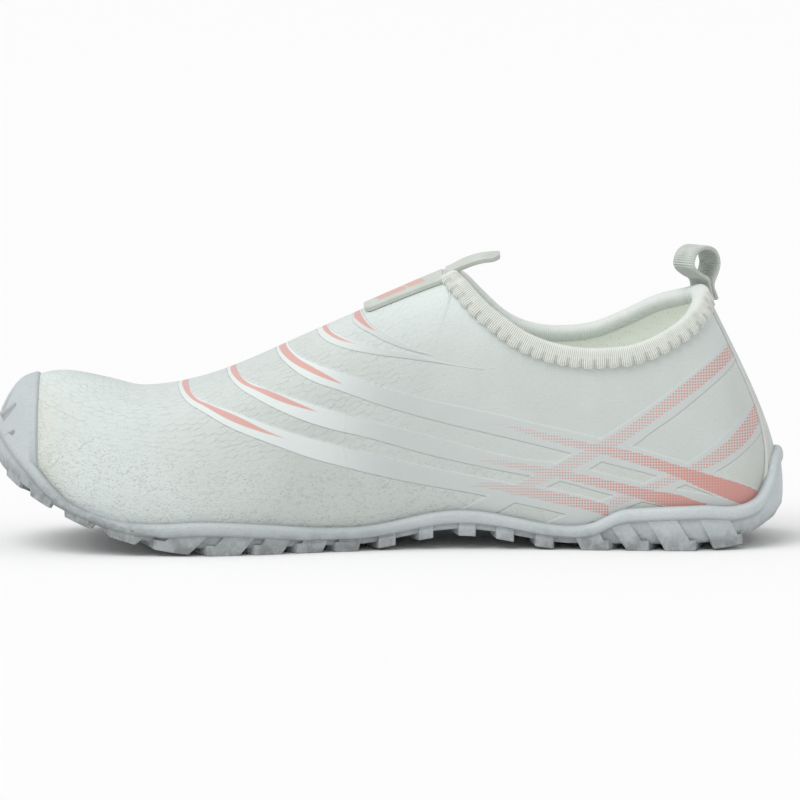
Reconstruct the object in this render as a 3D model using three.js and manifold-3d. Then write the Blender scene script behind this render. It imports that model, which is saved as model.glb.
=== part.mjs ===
import * as THREE from "three";
import { mergeVertices } from "three/addons/utils/BufferGeometryUtils.js";
import Module from "manifold-3d";

// A slip-on water shoe for the right foot, standing on its sole, in millimetres.
// The toe points along -X, the medial side faces -Y and +Z is up.
const wasm = await Module();
wasm.setup();

// Driving sizes of the foot form
const length = 262; // sole, from the back of the heel to the tip of the toe
const ballWidth = 96; // sole, across the ball of the foot
const instepHeight = 88.7; // collar edge at the instep
const collarHeight = 65.1; // collar edge at its lowest, under the ankle
const heelHeight = 82.8; // collar edge at the back of the heel
const toeSpring = 26.5; // lift of the sole's underside at the toe tip
const toeSpringRun = 76; // length of sole that the toe spring takes
const archRise = 4.5; // lift of the underside at the waist
const heelBevel = 6; // lift of the underside at the back of the heel
const heelBevelRun = 36;

// Walls and clearances
const wall = 2; // knit wall of the upper
const gap = 0.3; // between pieces that touch
const fineness = 0.12; // smallest detail kept in the faceted skins
const cut = 1; // how far a cutting form reaches past what it cuts

// Sole
const soleBase = 2.8; // web of rubber over the lugs
const lugDepth = 2; // tread lugs under the web
const rimHeight = 10; // rim over the foot bed, at the side of the heel
const rimTop = 2; // thickness of the rim's upper edge
const sideDepth = 2.4; // recessed side wall under the bead
const beadDepth = 4.2; // rounded bead along the rim
const beadHeight = 4.6;
const lugSet = 0.6; // how far the side lugs stand back from the bead
const cornerRadius = 6; // lower corner of the side wall at the heel
const toeCapThickness = 2;
const toeCapRun = 15; // toe cap, from the tip back
const grooveWidth = 2.4;
const grooveTaper = 0.35; // narrow end, share of grooveWidth
const grooveDepth = 1.1;
const insoleThickness = 3;
const insoleClearance = 1; // between the insole's edge and the wall

// Trim
const bindingThickness = 1.6;
const bindingHeight = 4.7; // outside, down from the collar edge
const bindingInside = 3;
const bindingTop = 1.8; // how far the binding stands over the collar edge
const patchThickness = 1.6;
const patchWidth = 18;
const patchLength = 26;
const patchCorner = 2.5;
const tabLength = 17.8;
const tabWidth = 14;
const tabThickness = 1.7;
const tabCrown = 26; // radius of the instep under the tab's root
const tabArch = 15; // radius of the tab beyond its root
const stripThickness = 0.9;
const stripWidth = 14;
const loopWidth = 9.6; // width of the webbing
const loopThickness = 1.2;
const loopDepth = 12; // across the open loop
const loopRise = 12.8; // top of the loop over the binding
const loopFoot = 4.8; // length of webbing on each side of the binding
const loopAt = 1; // sections from the back of the heel round to the loop, on the lateral side
const loopLean = 1.3; // how far the open loop stands out from the heel's wall

// One row for each section of the foot form, from the back of the heel to the tip of the toe.
// along: place on the sole, share of length from the heel
// inner, outer: half widths of the sole, share of ballWidth
// spine: middle of the foot bed, share of length from the heel
// crest: place of the ridge that closes the section, share of length
// heel, instep: height of the ridge, shares of heelHeight and instepHeight
// lean: ridge across, share of ballWidth
// rise, drop: upright reach of the section's lower and upper handles, share of its height
// flareIn, flareOut, crown: sideways reach of the handles, share of ballWidth
const sections = [
  {
    along: 0, inner: 0, outer: 0, spine: 0.12, crest: 0.158, heel: 1.389, instep: 0,
    lean: 0, rise: 0.27, flareIn: 0.06, flareOut: 0.06, crown: 0.15, drop: 0.47,
  },
  {
    along: 0.035, inner: 0.245, outer: 0.245, spine: 0.13, crest: 0.166, heel: 1.377, instep: 0,
    lean: 0, rise: 0.29, flareIn: 0.045, flareOut: 0.03, crown: 0.22, drop: 0.38,
  },
  {
    along: 0.11, inner: 0.335, outer: 0.335, spine: 0.17, crest: 0.194, heel: 1.365, instep: 0,
    lean: 0, rise: 0.31, flareIn: 0.05, flareOut: 0.03, crown: 0.28, drop: 0.28,
  },
  {
    along: 0.22, inner: 0.325, outer: 0.345, spine: 0.25, crest: 0.248, heel: 1.353, instep: 0,
    lean: 0, rise: 0.33, flareIn: 0.06, flareOut: 0.03, crown: 0.32, drop: 0.2,
  },
  {
    along: 0.34, inner: 0.3, outer: 0.365, spine: 0.35, crest: 0.332, heel: 1.256, instep: 0,
    lean: 0, rise: 0.31, flareIn: 0.06, flareOut: 0.02, crown: 0.3, drop: 0.1,
  },
  {
    along: 0.46, inner: 0.3, outer: 0.4, spine: 0.44, crest: 0.397, heel: 0, instep: 1.05,
    lean: -0.01, rise: 0.32, flareIn: 0.07, flareOut: 0.01, crown: 0.27, drop: 0.005,
  },
  {
    along: 0.58, inner: 0.37, outer: 0.45, spine: 0.55, crest: 0.477, heel: 0, instep: 0.948,
    lean: -0.02, rise: 0.32, flareIn: 0.06, flareOut: 0, crown: 0.27, drop: 0,
  },
  {
    along: 0.7, inner: 0.46, outer: 0.475, spine: 0.66, crest: 0.592, heel: 0, instep: 0.8,
    lean: -0.03, rise: 0.35, flareIn: 0.05, flareOut: 0.01, crown: 0.28, drop: 0,
  },
  {
    along: 0.81, inner: 0.475, outer: 0.42, spine: 0.75, crest: 0.714, heel: 0, instep: 0.645,
    lean: -0.05, rise: 0.45, flareIn: 0.05, flareOut: 0.02, crown: 0.29, drop: 0,
  },
  {
    along: 0.905, inner: 0.43, outer: 0.29, spine: 0.82, crest: 0.798, heel: 0, instep: 0.588,
    lean: -0.06, rise: 0.58, flareIn: 0.04, flareOut: 0.025, crown: 0.28, drop: -0.03,
  },
  {
    along: 0.97, inner: 0.32, outer: 0.13, spine: 0.86, crest: 0.844, heel: 0, instep: 0.604,
    lean: -0.06, rise: 0.6, flareIn: 0.03, flareOut: 0.025, crown: 0.28, drop: -0.12,
  },
  {
    along: 1, inner: 0.1, outer: -0.1, spine: 0.88, crest: 0.866, heel: 0, instep: 0.616,
    lean: -0.06, rise: 0.68, flareIn: 0.023, flareOut: 0.023, crown: 0.28, drop: -0.17,
  },
];

// Rim of the sole: cover is its height over the foot bed, a share of rimHeight,
// bead is how far it stands out, a share of beadDepth, and corner is the radius of the side
// wall's lower corner, a share of cornerRadius.
const rim = [
  { along: 0, cover: 2.15, bead: 0.9, corner: 1 },
  { along: 0.009, cover: 1.95, bead: 0.92, corner: 1 },
  { along: 0.02, cover: 1.36, bead: 0.94, corner: 0.95 },
  { along: 0.034, cover: 0.94, bead: 0.96, corner: 0.85 },
  { along: 0.064, cover: 0.84, bead: 1, corner: 0.6 },
  { along: 0.11, cover: 1.02, bead: 1, corner: 0.4 },
  { along: 0.19, cover: 0.96, bead: 1, corner: 0.25 },
  { along: 0.215, cover: 0.86, bead: 1, corner: 0.25 },
  { along: 0.25, cover: 0.44, bead: 1, corner: 0.25 },
  { along: 0.28, cover: 0.34, bead: 1, corner: 0.25 },
  { along: 0.42, cover: 0.4, bead: 0.95, corner: 0.25 },
  { along: 0.58, cover: 0.36, bead: 1, corner: 0.25 },
  { along: 0.66, cover: 0.54, bead: 1, corner: 0.25 },
  { along: 0.735, cover: 0.63, bead: 1, corner: 0.25 },
  { along: 0.79, cover: 0.4, bead: 1, corner: 0.25 },
  { along: 0.835, cover: 0.18, bead: 1, corner: 0.25 },
  { along: 0.88, cover: 0.09, bead: 0.95, corner: 0.25 },
  { along: 0.915, cover: 0.18, bead: 0.88, corner: 0.3 },
  { along: 0.96, cover: 0.8, bead: 0.72, corner: 0.35 },
  { along: 1, cover: 1.3, bead: 0.62, corner: 0.35 },
];

// Collar edge seen from the side. The heights run from collarHeight, 0, up to the peak's
// height, 1, on the medial and on the lateral side.
const collar = [
  { along: 0.4218, medial: 1, lateral: 1, peak: instepHeight },
  { along: 0.41, medial: 0.9, lateral: 0.9, peak: instepHeight },
  { along: 0.387, medial: 0.636, lateral: 0.62, peak: instepHeight },
  { along: 0.361, medial: 0.41, lateral: 0.34, peak: instepHeight },
  { along: 0.336, medial: 0.22, lateral: 0.18, peak: instepHeight },
  { along: 0.304, medial: 0.076, lateral: 0.09, peak: instepHeight },
  { along: 0.266, medial: 0, lateral: 0.085, peak: instepHeight },
  { along: 0.234, medial: 0, lateral: 0.2, peak: heelHeight },
  { along: 0.196, medial: 0.068, lateral: 0.46, peak: heelHeight },
  { along: 0.16, medial: 0.254, lateral: 0.78, peak: heelHeight },
  { along: 0.125, medial: 0.52, lateral: 1, peak: heelHeight },
  { along: 0.109, medial: 0.797, lateral: 1.1, peak: heelHeight },
  { along: 0.103, medial: 1, lateral: 1.15, peak: heelHeight },
];
const collarFrontLean = 0.2; // slope of the edge's short rise to the ridge in front
const collarHalfWidth = 0.25; // where the two collar edges lie across, share of ballWidth

// Tread lugs along each edge: from and to are shares of length, slant is the lean of the
// lug's side face along the sole for each millimetre of height, reach is the lug's length in
// from the edge, share of ballWidth, and sweep moves its inner end, share of the lug's width.
const edgeLugs = [
  { from: 0.058, to: 0.094, slant: 0.5, reach: 0.15, sweep: -0.9 },
  { from: 0.118, to: 0.157, slant: 0.6, reach: 0.17, sweep: -0.9 },
  { from: 0.178, to: 0.205, slant: 0.7, reach: 0.17, sweep: -0.9 },
  { from: 0.228, to: 0.262, slant: 0.5, reach: 0.15, sweep: -0.9 },
  { from: 0.297, to: 0.32, slant: 0, reach: 0.08, sweep: 0.4 },
  { from: 0.347, to: 0.369, slant: 0, reach: 0.08, sweep: 0.4 },
  { from: 0.395, to: 0.416, slant: 0, reach: 0.08, sweep: 0.4 },
  { from: 0.448, to: 0.466, slant: 0, reach: 0.08, sweep: 0.4 },
  { from: 0.495, to: 0.516, slant: 0, reach: 0.08, sweep: 0.4 },
  { from: 0.542, to: 0.57, slant: -0.3, reach: 0.15, sweep: 0.9 },
  { from: 0.587, to: 0.618, slant: -0.5, reach: 0.16, sweep: 0.9 },
  { from: 0.637, to: 0.671, slant: -0.7, reach: 0.16, sweep: 0.9 },
  { from: 0.69, to: 0.731, slant: -0.9, reach: 0.16, sweep: 0.9 },
  { from: 0.754, to: 0.797, slant: -1, reach: 0.16, sweep: 0.9 },
  { from: 0.821, to: 0.854, slant: -1, reach: 0.15, sweep: 0.9 },
  { from: 0.878, to: 0.91, slant: -0.8, reach: 0.13, sweep: 0.9 },
  { from: 0.931, to: 0.955, slant: -0.5, reach: 0.1, sweep: 0.9 },
  { from: 0.97, to: 0.988, slant: -0.2, reach: 0.07, sweep: 0.3 },
];

// Bars across the middle of the tread: place, and half length across as a share of ballWidth
const treadBars = [
  { along: 0.09, half: 0.12 },
  { along: 0.135, half: 0.14 },
  { along: 0.18, half: 0.14 },
  { along: 0.225, half: 0.13 },
  { along: 0.555, half: 0.18 },
  { along: 0.6, half: 0.22 },
  { along: 0.645, half: 0.25 },
  { along: 0.69, half: 0.26 },
  { along: 0.735, half: 0.26 },
  { along: 0.78, half: 0.24 },
  { along: 0.825, half: 0.22 },
  { along: 0.87, half: 0.16 },
];
const barWidth = 5;
const barPoint = 7; // how far a bar's middle leads its ends

// Short grooves in the toe cap, as wedges from their narrow end to their wide one, in the side view
const toeGrooves = [
  { x: 0.974, z: 0.9, toX: 0.993, toZ: 0.815 },
  { x: 0.969, z: 0.8, toX: 0.993, toZ: 0.715 },
  { x: 0.968, z: 0.65, toX: 0.989, toZ: 0.565 },
  { x: 0.959, z: 0.51, toX: 0.977, toZ: 0.44 },
];
const toeCapHeight = 58; // top of the toe cap, which the grooves' heights are shares of

const rubber = { color: 0xd9e0e8, roughness: 0.5, metalness: 0 };
const knit = { color: 0xdde3df, roughness: 0.85, metalness: 0 };
const elastic = { color: 0xd5dad5, roughness: 0.8, metalness: 0 };
const film = { color: 0xdce2de, roughness: 0.6, metalness: 0 };
const webbing = { color: 0xdfe4df, roughness: 0.8, metalness: 0 };
const foam = { color: 0xe2e5e0, roughness: 0.9, metalness: 0 };

const lastSection = sections.length - 1;
const loopKeys = 2 * lastSection;
const soleFloor = soleBase + lugDepth;
const columnsPerSection = 3;
const columnCount = loopKeys * columnsPerSection;
const rowCount = 8;
const up = new THREE.Vector3(0, 0, 1);

function placeAlong(share) {
  return length * (0.5 - share);
}

function mix(a, b, t) {
  return a + (b - a) * t;
}

// Height of the tread over the floor at a place along the shoe
function under(x) {
  const fromHeel = length / 2 - x;
  const fromToe = length / 2 + x;
  const archAt = 0.413 * length;
  const archSpan = 0.143 * length;
  const toe = Math.max(0, 1 - fromToe / toeSpringRun);
  const heel = Math.max(0, 1 - fromHeel / heelBevelRun);
  const arch = Math.min(1, Math.abs(fromHeel - archAt) / archSpan);
  return toeSpring * toe ** 2 + heelBevel * heel ** 2 + archRise * Math.cos((arch * Math.PI) / 2) ** 2;
}

// Smooth value of one column of a table that is ordered by along
function readTable(table, along, column) {
  const last = table.length - 1;
  const slopeAt = (i) => {
    const low = table[Math.max(0, i - 1)];
    const high = table[Math.min(last, i + 1)];
    return (high[column] - low[column]) / (high.along - low.along);
  };
  let i = 0;
  while (i < last - 1 && along > table[i + 1].along) i += 1;
  const a = table[i];
  const b = table[i + 1];
  const span = b.along - a.along;
  const t = Math.min(1, Math.max(0, (along - a.along) / span));
  const t2 = t * t;
  const t3 = t2 * t;
  return (
    (2 * t3 - 3 * t2 + 1) * a[column] +
    (t3 - 2 * t2 + t) * span * slopeAt(i) +
    (3 * t2 - 2 * t3) * b[column] +
    (t3 - t2) * span * slopeAt(i + 1)
  );
}

// The sections taken round the shoe once: heel, medial side, toe, lateral side
const keys = Array.from({ length: loopKeys }, (_, m) => {
  const k = m <= lastSection ? m : loopKeys - m;
  const row = sections[k];
  const before = sections[Math.max(0, k - 1)];
  const after = sections[Math.min(lastSection, k + 1)];
  const crestZ = (r) => r.heel * heelHeight + r.instep * instepHeight;
  const medial = m <= lastSection;
  const across = medial ? -row.inner : row.outer;
  return {
    edgeX: placeAlong(row.along),
    edgeY: across * ballWidth,
    spineX: placeAlong(row.spine),
    spineY: ((row.outer - row.inner) / 2) * ballWidth,
    crestX: placeAlong(row.crest),
    crestY: row.lean * ballWidth,
    crestZ: crestZ(row),
    slope: (crestZ(after) - crestZ(before)) / (placeAlong(after.crest) - placeAlong(before.crest)),
    rise: row.rise,
    drop: row.drop,
    flare: (medial ? row.flareIn : row.flareOut) * ballWidth,
    crown: row.crown * ballWidth,
  };
});

// Catmull-Rom value of one field of the keys, and its rate, at a place round the loop
function around(u, field) {
  const base = Math.floor(u);
  const t = u - base;
  const value = (i) => keys[(((base + i) % loopKeys) + loopKeys) % loopKeys][field];
  const [a, b, c, d] = [value(-1), value(0), value(1), value(2)];
  const linear = (c - a) / 2;
  const square = a - 2.5 * b + 2 * c - d / 2;
  const cube = (d - a) / 2 + 1.5 * (b - c);
  return {
    value: ((cube * t + square) * t + linear) * t + b,
    rate: (3 * cube * t + 2 * square) * t + linear,
  };
}

// Everything about one section at u: its outline normal, foot, handles and crest
function sectionAt(u) {
  const edgeX = around(u, "edgeX");
  const edgeY = around(u, "edgeY");
  const out = new THREE.Vector3(-edgeY.rate, edgeX.rate, 0).normalize();
  const along = 0.5 - edgeX.value / length;
  const bead = readTable(rim, along, "bead") * beadDepth;
  const foot = new THREE.Vector3(edgeX.value, edgeY.value, 0).addScaledVector(out, -bead);
  foot.z = under(foot.x) + soleFloor;
  const crest = new THREE.Vector3(
    around(u, "crestX").value,
    around(u, "crestY").value,
    around(u, "crestZ").value,
  );
  const slope = around(u, "slope").value;
  const crown = around(u, "crown").value;
  const height = crest.z - foot.z;
  const low = foot.clone().addScaledVector(out, around(u, "flare").value);
  low.z += around(u, "rise").value * height;
  const high = crest.clone().addScaledVector(out, crown);
  high.z += slope * out.x * crown - around(u, "drop").value * height;
  const curve = new THREE.CubicBezierCurve3(foot, low, high, crest);
  curve.arcLengthDivisions = 40;
  return { u, along, out, foot, crest, slope, bead, curve, arc: curve.getLength() };
}

// Point of the form's surface at a distance up the section from its foot
function surfacePoint(u, distance) {
  const section = sectionAt(u);
  if (distance < 0) return section.foot.clone().addScaledVector(up, distance);
  return section.curve.getPointAt(Math.min(1, distance / section.arc));
}

// The same point moved out of the surface along its normal
function offsetPoint(u, distance, offset) {
  const section = sectionAt(u);
  const here = surfacePoint(u, distance);
  if (distance <= 0) return here.addScaledVector(section.out, offset);
  if (distance >= section.arc) {
    return here.addScaledVector(new THREE.Vector3(-section.slope, 0, 1).normalize(), offset);
  }
  const du = 0.04;
  const dd = 0.3;
  const share = distance / section.arc;
  const ahead = sectionAt(u + du);
  const behind = sectionAt(u - du);
  const alongU = surfacePoint(u + du, share * ahead.arc).sub(surfacePoint(u - du, share * behind.arc));
  const upward = surfacePoint(u, Math.min(distance + dd, section.arc)).sub(surfacePoint(u, distance - dd));
  return here.addScaledVector(upward.cross(alongU).normalize(), offset);
}

// Solid whose skin runs round the loop in columns, each from the lower seam to the upper seam.
// Along both seams the medial and lateral columns meet.
function zippedSolid(columnAt) {
  const columns = Array.from({ length: columnCount }, (_, j) => columnAt(j / columnsPerSection));
  const rows = columns[0].length;
  const half = columnCount / 2;
  const positions = [];
  const index = new Map();
  const vertex = (j, r) => {
    const wrapped = j % columnCount;
    const seam = r === 0 || r === rows - 1;
    const column = seam ? Math.min(wrapped, columnCount - wrapped) : wrapped;
    const key = column * rows + r;
    if (!index.has(key)) {
      index.set(key, positions.length / 3);
      const point = columns[column][r];
      positions.push(point.x, point.y, point.z);
    }
    return index.get(key);
  };
  const faces = [];
  for (let j = 0; j < 2 * half; j += 1) {
    for (let r = 0; r < rows - 1; r += 1) {
      const [a, b, c, d] = [vertex(j, r), vertex(j, r + 1), vertex(j + 1, r + 1), vertex(j + 1, r)];
      faces.push(a, b, c, a, c, d);
    }
  }
  return solidFrom(positions, faces);
}

function solidFrom(positions, faces) {
  const geometry = new THREE.BufferGeometry();
  geometry.setAttribute("position", new THREE.Float32BufferAttribute(positions, 3));
  geometry.setIndex(faces);
  return solidOf(geometry);
}

function solidOf(geometry) {
  geometry.deleteAttribute("normal");
  geometry.deleteAttribute("uv");
  const merged = mergeVertices(geometry, 1e-5);
  return new wasm.Manifold(
    new wasm.Mesh({
      numProp: 3,
      vertProperties: new Float32Array(merged.attributes.position.array),
      triVerts: new Uint32Array(merged.index.array),
    }),
  );
}

// Solid through rings of points that lie over each other; flat turns a point into the
// plane in which the end caps are filled.
function prismThrough(rings, flat) {
  const outline = rings[0].map(flat);
  const clockwise = THREE.ShapeUtils.isClockWise(outline);
  const caps = THREE.ShapeUtils.triangulateShape(outline, []);
  const count = outline.length;
  const top = (rings.length - 1) * count;
  const faces = [];
  for (const [a, b, c] of caps) {
    faces.push(a, c, b, a + top, b + top, c + top);
  }
  for (let ring = 0; ring < top; ring += count) {
    for (let i = 0; i < count; i += 1) {
      const next = (i + 1) % count;
      const [a, b, c, d] = [ring + i, ring + next, ring + next + count, ring + i + count];
      if (clockwise) faces.push(b, a, d, b, d, c);
      else faces.push(a, b, c, a, c, d);
    }
  }
  return solidFrom(rings.flat().flatMap((p) => p.toArray()), faces);
}

// Solid of a flat section carried through stations; each station is a ring of points, the
// lower face from one edge to the other and the upper face back.
function sheetSolid(rings) {
  const count = rings[0].length;
  const last = rings.length - 1;
  const faces = [];
  for (let s = 0; s < last; s += 1) {
    for (let i = 0; i < count; i += 1) {
      const next = (i + 1) % count;
      const [a, b, c, d] = [s * count + i, s * count + next, (s + 1) * count + next, (s + 1) * count + i];
      faces.push(a, b, c, a, c, d);
    }
  }
  for (let i = 0; i < count / 2 - 1; i += 1) {
    const [a, b, c, d] = [i, i + 1, count - 2 - i, count - 1 - i];
    faces.push(a, c, b, a, d, c);
    const end = last * count;
    faces.push(end + a, end + b, end + c, end + a, end + c, end + d);
  }
  const solid = solidFrom(rings.flat().flatMap((p) => p.toArray()), faces);
  if (solid.volume() > 0) return solid;
  for (let i = 0; i < faces.length; i += 3) {
    [faces[i + 1], faces[i + 2]] = [faces[i + 2], faces[i + 1]];
  }
  return solidFrom(rings.flat().flatMap((p) => p.toArray()), faces);
}

const sideView = (p) => new THREE.Vector2(p.x, p.z);
const planView = (p) => new THREE.Vector2(p.x, p.y);

// The foot form, grown by offset, with its flat bottom lowered by drop
function footForm(offset, drop) {
  return zippedSolid((u) => {
    const section = sectionAt(u);
    const foot = section.foot.clone().addScaledVector(section.out, offset);
    const spineX = around(u, "spineX").value;
    const spine = new THREE.Vector3(spineX, around(u, "spineY").value, under(spineX) + soleFloor - drop);
    foot.z = under(foot.x) + soleFloor - drop;
    const middle = foot.clone().lerp(spine, 0.4);
    middle.z = under(middle.x) + soleFloor - drop;
    const column = [spine, middle, foot];
    for (let r = drop === 0 ? 1 : 0; r <= rowCount; r += 1) {
      column.push(offsetPoint(u, (r / rowCount) * section.arc, offset));
    }
    return column;
  });
}

// Collar edge in the side view, moved up by shift, on one side: 0 medial, 1 lateral
function collarCurve(side, shift) {
  const points = collar.map((row) => {
    const share = mix(row.medial, row.lateral, side);
    return new THREE.Vector3(placeAlong(row.along), 0, collarHeight + share * (row.peak - collarHeight));
  });
  const curve = new THREE.CatmullRomCurve3(points, false, "centripetal");
  const steps = 17;
  return Array.from({ length: steps + 1 }, (_, i) => {
    const tangent = curve.getTangent(i / steps);
    return curve.getPoint(i / steps).add(new THREE.Vector3(-tangent.z, 0, tangent.x).multiplyScalar(shift));
  });
}

// Everything over the collar edge, whose edge is moved up by shift
function overCollar(shift) {
  const reach = 0.6 * ballWidth;
  const top = 1.6 * instepHeight;
  const ringAt = (y) => {
    const side = (y / ballWidth + collarHalfWidth) / (2 * collarHalfWidth);
    const line = collarCurve(side, shift);
    const run = 0.15 * instepHeight;
    const front = line[0].clone().add(new THREE.Vector3(-run * collarFrontLean, 0, run));
    const end = line.length - 1;
    const back = line[end].clone().addScaledVector(line[end].clone().sub(line[end - 1]).normalize(), run);
    const ring = [front, ...line, back];
    ring.push(new THREE.Vector3(length / 2, 0, top));
    ring.push(new THREE.Vector3(front.x, 0, top));
    return ring.map((p) => new THREE.Vector3(p.x, y, p.z));
  };
  const slices = 5;
  const rings = Array.from({ length: slices + 1 }, (_, i) => ringAt(mix(reach, -reach, i / slices)));
  return prismThrough(rings, sideView);
}

// Height of the ridge at a place along the shoe
function crestAt(x) {
  let low = 0;
  let high = lastSection;
  for (let i = 0; i < 30; i += 1) {
    const middle = (low + high) / 2;
    if (around(middle, "crestX").value > x) low = middle;
    else high = middle;
  }
  return around(low, "crestZ").value;
}

// Front end of the collar's edge, moved down by shift
function collarFront(shift) {
  return collarCurve(0.5, -shift)[0].x;
}

// Outsole

// Height of the rim's bead, which is less where the rim is low
function beadHeightAt(cover) {
  return Math.min(beadHeight, soleBase + cover - gap);
}

// Sole without its tread: web, side wall, rim bead and toe cap
function soleBody() {
  const blank = zippedSolid((u) => {
    const section = sectionAt(u);
    const { foot, out, bead } = section;
    const cover = readTable(rim, section.along, "cover") * rimHeight;
    const spineX = around(u, "spineX").value;
    const spineY = around(u, "spineY").value;
    const radius = readTable(rim, section.along, "corner") * cornerRadius;
    const beadRise = beadHeightAt(cover);
    const edge = foot.clone().addScaledVector(out, sideDepth - radius);
    edge.z = foot.z - soleBase;
    const spine = new THREE.Vector3(spineX, spineY, under(spineX) + lugDepth);
    const middle = edge.clone().lerp(spine, 0.4);
    middle.z = under(middle.x) + lugDepth;
    const bend = radius * (1 - Math.SQRT1_2);
    const sideLow = -soleBase + Math.min(radius, 0.4 * (soleBase + cover - 0.85 * beadRise));
    const sideHigh = Math.max(cover - beadRise, sideLow + gap / 2);
    const floor = new THREE.Vector3(spineX, spineY, under(spineX) + soleFloor + cut / 2);
    const inner = foot.clone().addScaledVector(out, -cut);
    inner.z += cut / 2;
    return [
      spine,
      middle,
      edge,
      offsetPoint(u, mix(-soleBase, sideLow, 0.3), sideDepth - bend),
      offsetPoint(u, sideLow, sideDepth),
      offsetPoint(u, sideHigh, sideDepth),
      offsetPoint(u, cover - 0.85 * beadRise, mix(sideDepth, bead, 0.6)),
      offsetPoint(u, cover - 0.5 * beadRise, bead),
      offsetPoint(u, cover - 0.15 * beadRise, mix(rimTop, bead, 0.7)),
      offsetPoint(u, cover, rimTop),
      offsetPoint(u, cover, -cut),
      offsetPoint(u, cover / 2, -cut),
      inner,
      floor,
    ];
  });
  const capBack = -length / 2 + toeCapRun;
  const capRing = (y) => {
    const reach = length / 2 + ballWidth;
    return [
      new THREE.Vector3(capBack, y, instepHeight),
      new THREE.Vector3(-reach, y, instepHeight),
      new THREE.Vector3(-reach, y, 0),
      new THREE.Vector3(capBack + 0.6 * toeCapRun, y, 0),
      new THREE.Vector3(capBack + 0.6 * toeCapRun, y, 0.6 * toeSpring),
      new THREE.Vector3(capBack + 0.25 * toeCapRun, y, toeSpring),
      new THREE.Vector3(capBack, y, 1.3 * toeSpring),
    ];
  };
  const cap = footForm(toeCapThickness, 0).intersect(
    prismThrough([capRing(ballWidth), capRing(-ballWidth)], sideView),
  );
  return blank.add(cap);
}

// Short bars that are cut into the side of the toe cap
function toeGrooveCutter() {
  const cutters = toeGrooves.map((row) => {
    const from = new THREE.Vector2(placeAlong(row.x), row.z * toeCapHeight);
    const to = new THREE.Vector2(placeAlong(row.toX), row.toZ * toeCapHeight);
    const run = to.clone().sub(from).normalize().multiplyScalar(grooveWidth / 2);
    const side = new THREE.Vector2(-run.y, run.x);
    const ring = (y) =>
      [
        from.clone().addScaledVector(side, grooveTaper),
        from.clone().addScaledVector(side, -grooveTaper),
        to.clone().sub(side),
        to.clone().add(side),
      ].map((p) => new THREE.Vector3(p.x, y, p.y));
    return prismThrough([ring(ballWidth), ring(-ballWidth)], sideView);
  });
  return wasm.Manifold.union(cutters).subtract(footForm(toeCapThickness - grooveDepth, 0));
}

// Place round the loop where the sole's edge reaches a share of its length
function edgePlace(along, medial) {
  let low = 0;
  let high = lastSection;
  for (let i = 0; i < 30; i += 1) {
    const middle = (low + high) / 2;
    const u = medial ? middle : loopKeys - middle;
    if (0.5 - around(u, "edgeX").value / length < along) low = middle;
    else high = middle;
  }
  return medial ? low : loopKeys - low;
}

// One lug: a pad under the edge of the sole, and a block on its side wall
function edgeLug(row, medial) {
  const ends = [edgePlace(row.from, medial), edgePlace(row.to, medial)];
  const sweep = (ends[1] - ends[0]) * row.sweep;
  const pointAt = (u, outward, height, lean) => {
    const section = sectionAt(u);
    const point = section.foot.clone().addScaledVector(section.out, outward);
    point.addScaledVector(new THREE.Vector3(-section.out.y, section.out.x, 0), -lean);
    point.z = under(point.x) + height;
    return point;
  };
  const face = (u) => sectionAt(u).bead - lugSet;
  const padRing = (height) => [
    pointAt(ends[0], face(ends[0]), height, 0),
    pointAt(ends[1], face(ends[1]), height, 0),
    pointAt(ends[1] + sweep, -row.reach * ballWidth, height, 0),
    pointAt(ends[0] + sweep, -row.reach * ballWidth, height, 0),
  ];
  const wallTop = (u) => {
    const cover = readTable(rim, sectionAt(u).along, "cover") * rimHeight;
    return soleFloor + cover - 0.75 * beadHeightAt(cover);
  };
  const sideRing = (share) =>
    [[0, 0], [1, 0], [1, 1], [0, 1]].map(([at, inside]) => {
      const u = mix(ends[0], ends[1], at);
      const height = wallTop(u) * share;
      return pointAt(u, inside ? sideDepth / 4 : face(u), height, row.slant * height);
    });
  const pad = prismThrough([padRing(0), padRing(lugDepth + soleBase / 2)], planView);
  const side = prismThrough([sideRing(0), sideRing(1)], planView);
  return pad.add(side);
}

// One chevron bar across the tread, with its middle toward the toe
function treadBar(row) {
  const x = placeAlong(row.along);
  const u = edgePlace(row.along, true);
  const middle = (sectionAt(u).foot.y + sectionAt(loopKeys - u).foot.y) / 2;
  const half = row.half * ballWidth;
  const plan = [
    [x - barPoint, 0],
    [x, half],
    [x + barWidth, half],
    [x + barWidth - barPoint, 0],
    [x + barWidth, -half],
    [x, -half],
  ].map(([px, py]) => new THREE.Vector3(px, middle + py, under(px)));
  const raised = plan.map((p) => p.clone().addScaledVector(up, lugDepth + soleBase / 2));
  return prismThrough([plan, raised], planView);
}

function outsole() {
  const lugs = edgeLugs.flatMap((row) => [edgeLug(row, true), edgeLug(row, false)]);
  const tread = wasm.Manifold.union([...lugs, ...treadBars.map(treadBar)]);
  return soleBody().subtract(toeGrooveCutter()).add(tread).subtract(footForm(gap, gap));
}

// Insole

function insole() {
  return zippedSolid((u) => {
    const section = sectionAt(u);
    const edge = section.foot.clone().addScaledVector(section.out, -wall - insoleClearance);
    const spineX = around(u, "spineX").value;
    const spine = new THREE.Vector3(spineX, around(u, "spineY").value, under(spineX) + soleFloor);
    edge.z = under(edge.x) + soleFloor;
    const middle = edge.clone().lerp(spine, 0.4);
    middle.z = under(middle.x) + soleFloor;
    const lower = [spine, middle, edge];
    const upper = [...lower].reverse().map((p) => p.clone().addScaledVector(up, insoleThickness));
    return [...lower, ...upper];
  });
}

// Upper

function upper() {
  return footForm(0, 0).subtract(footForm(-wall, cut)).subtract(overCollar(0));
}

// Collar binding, folded over the edge of the upper's wall

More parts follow.
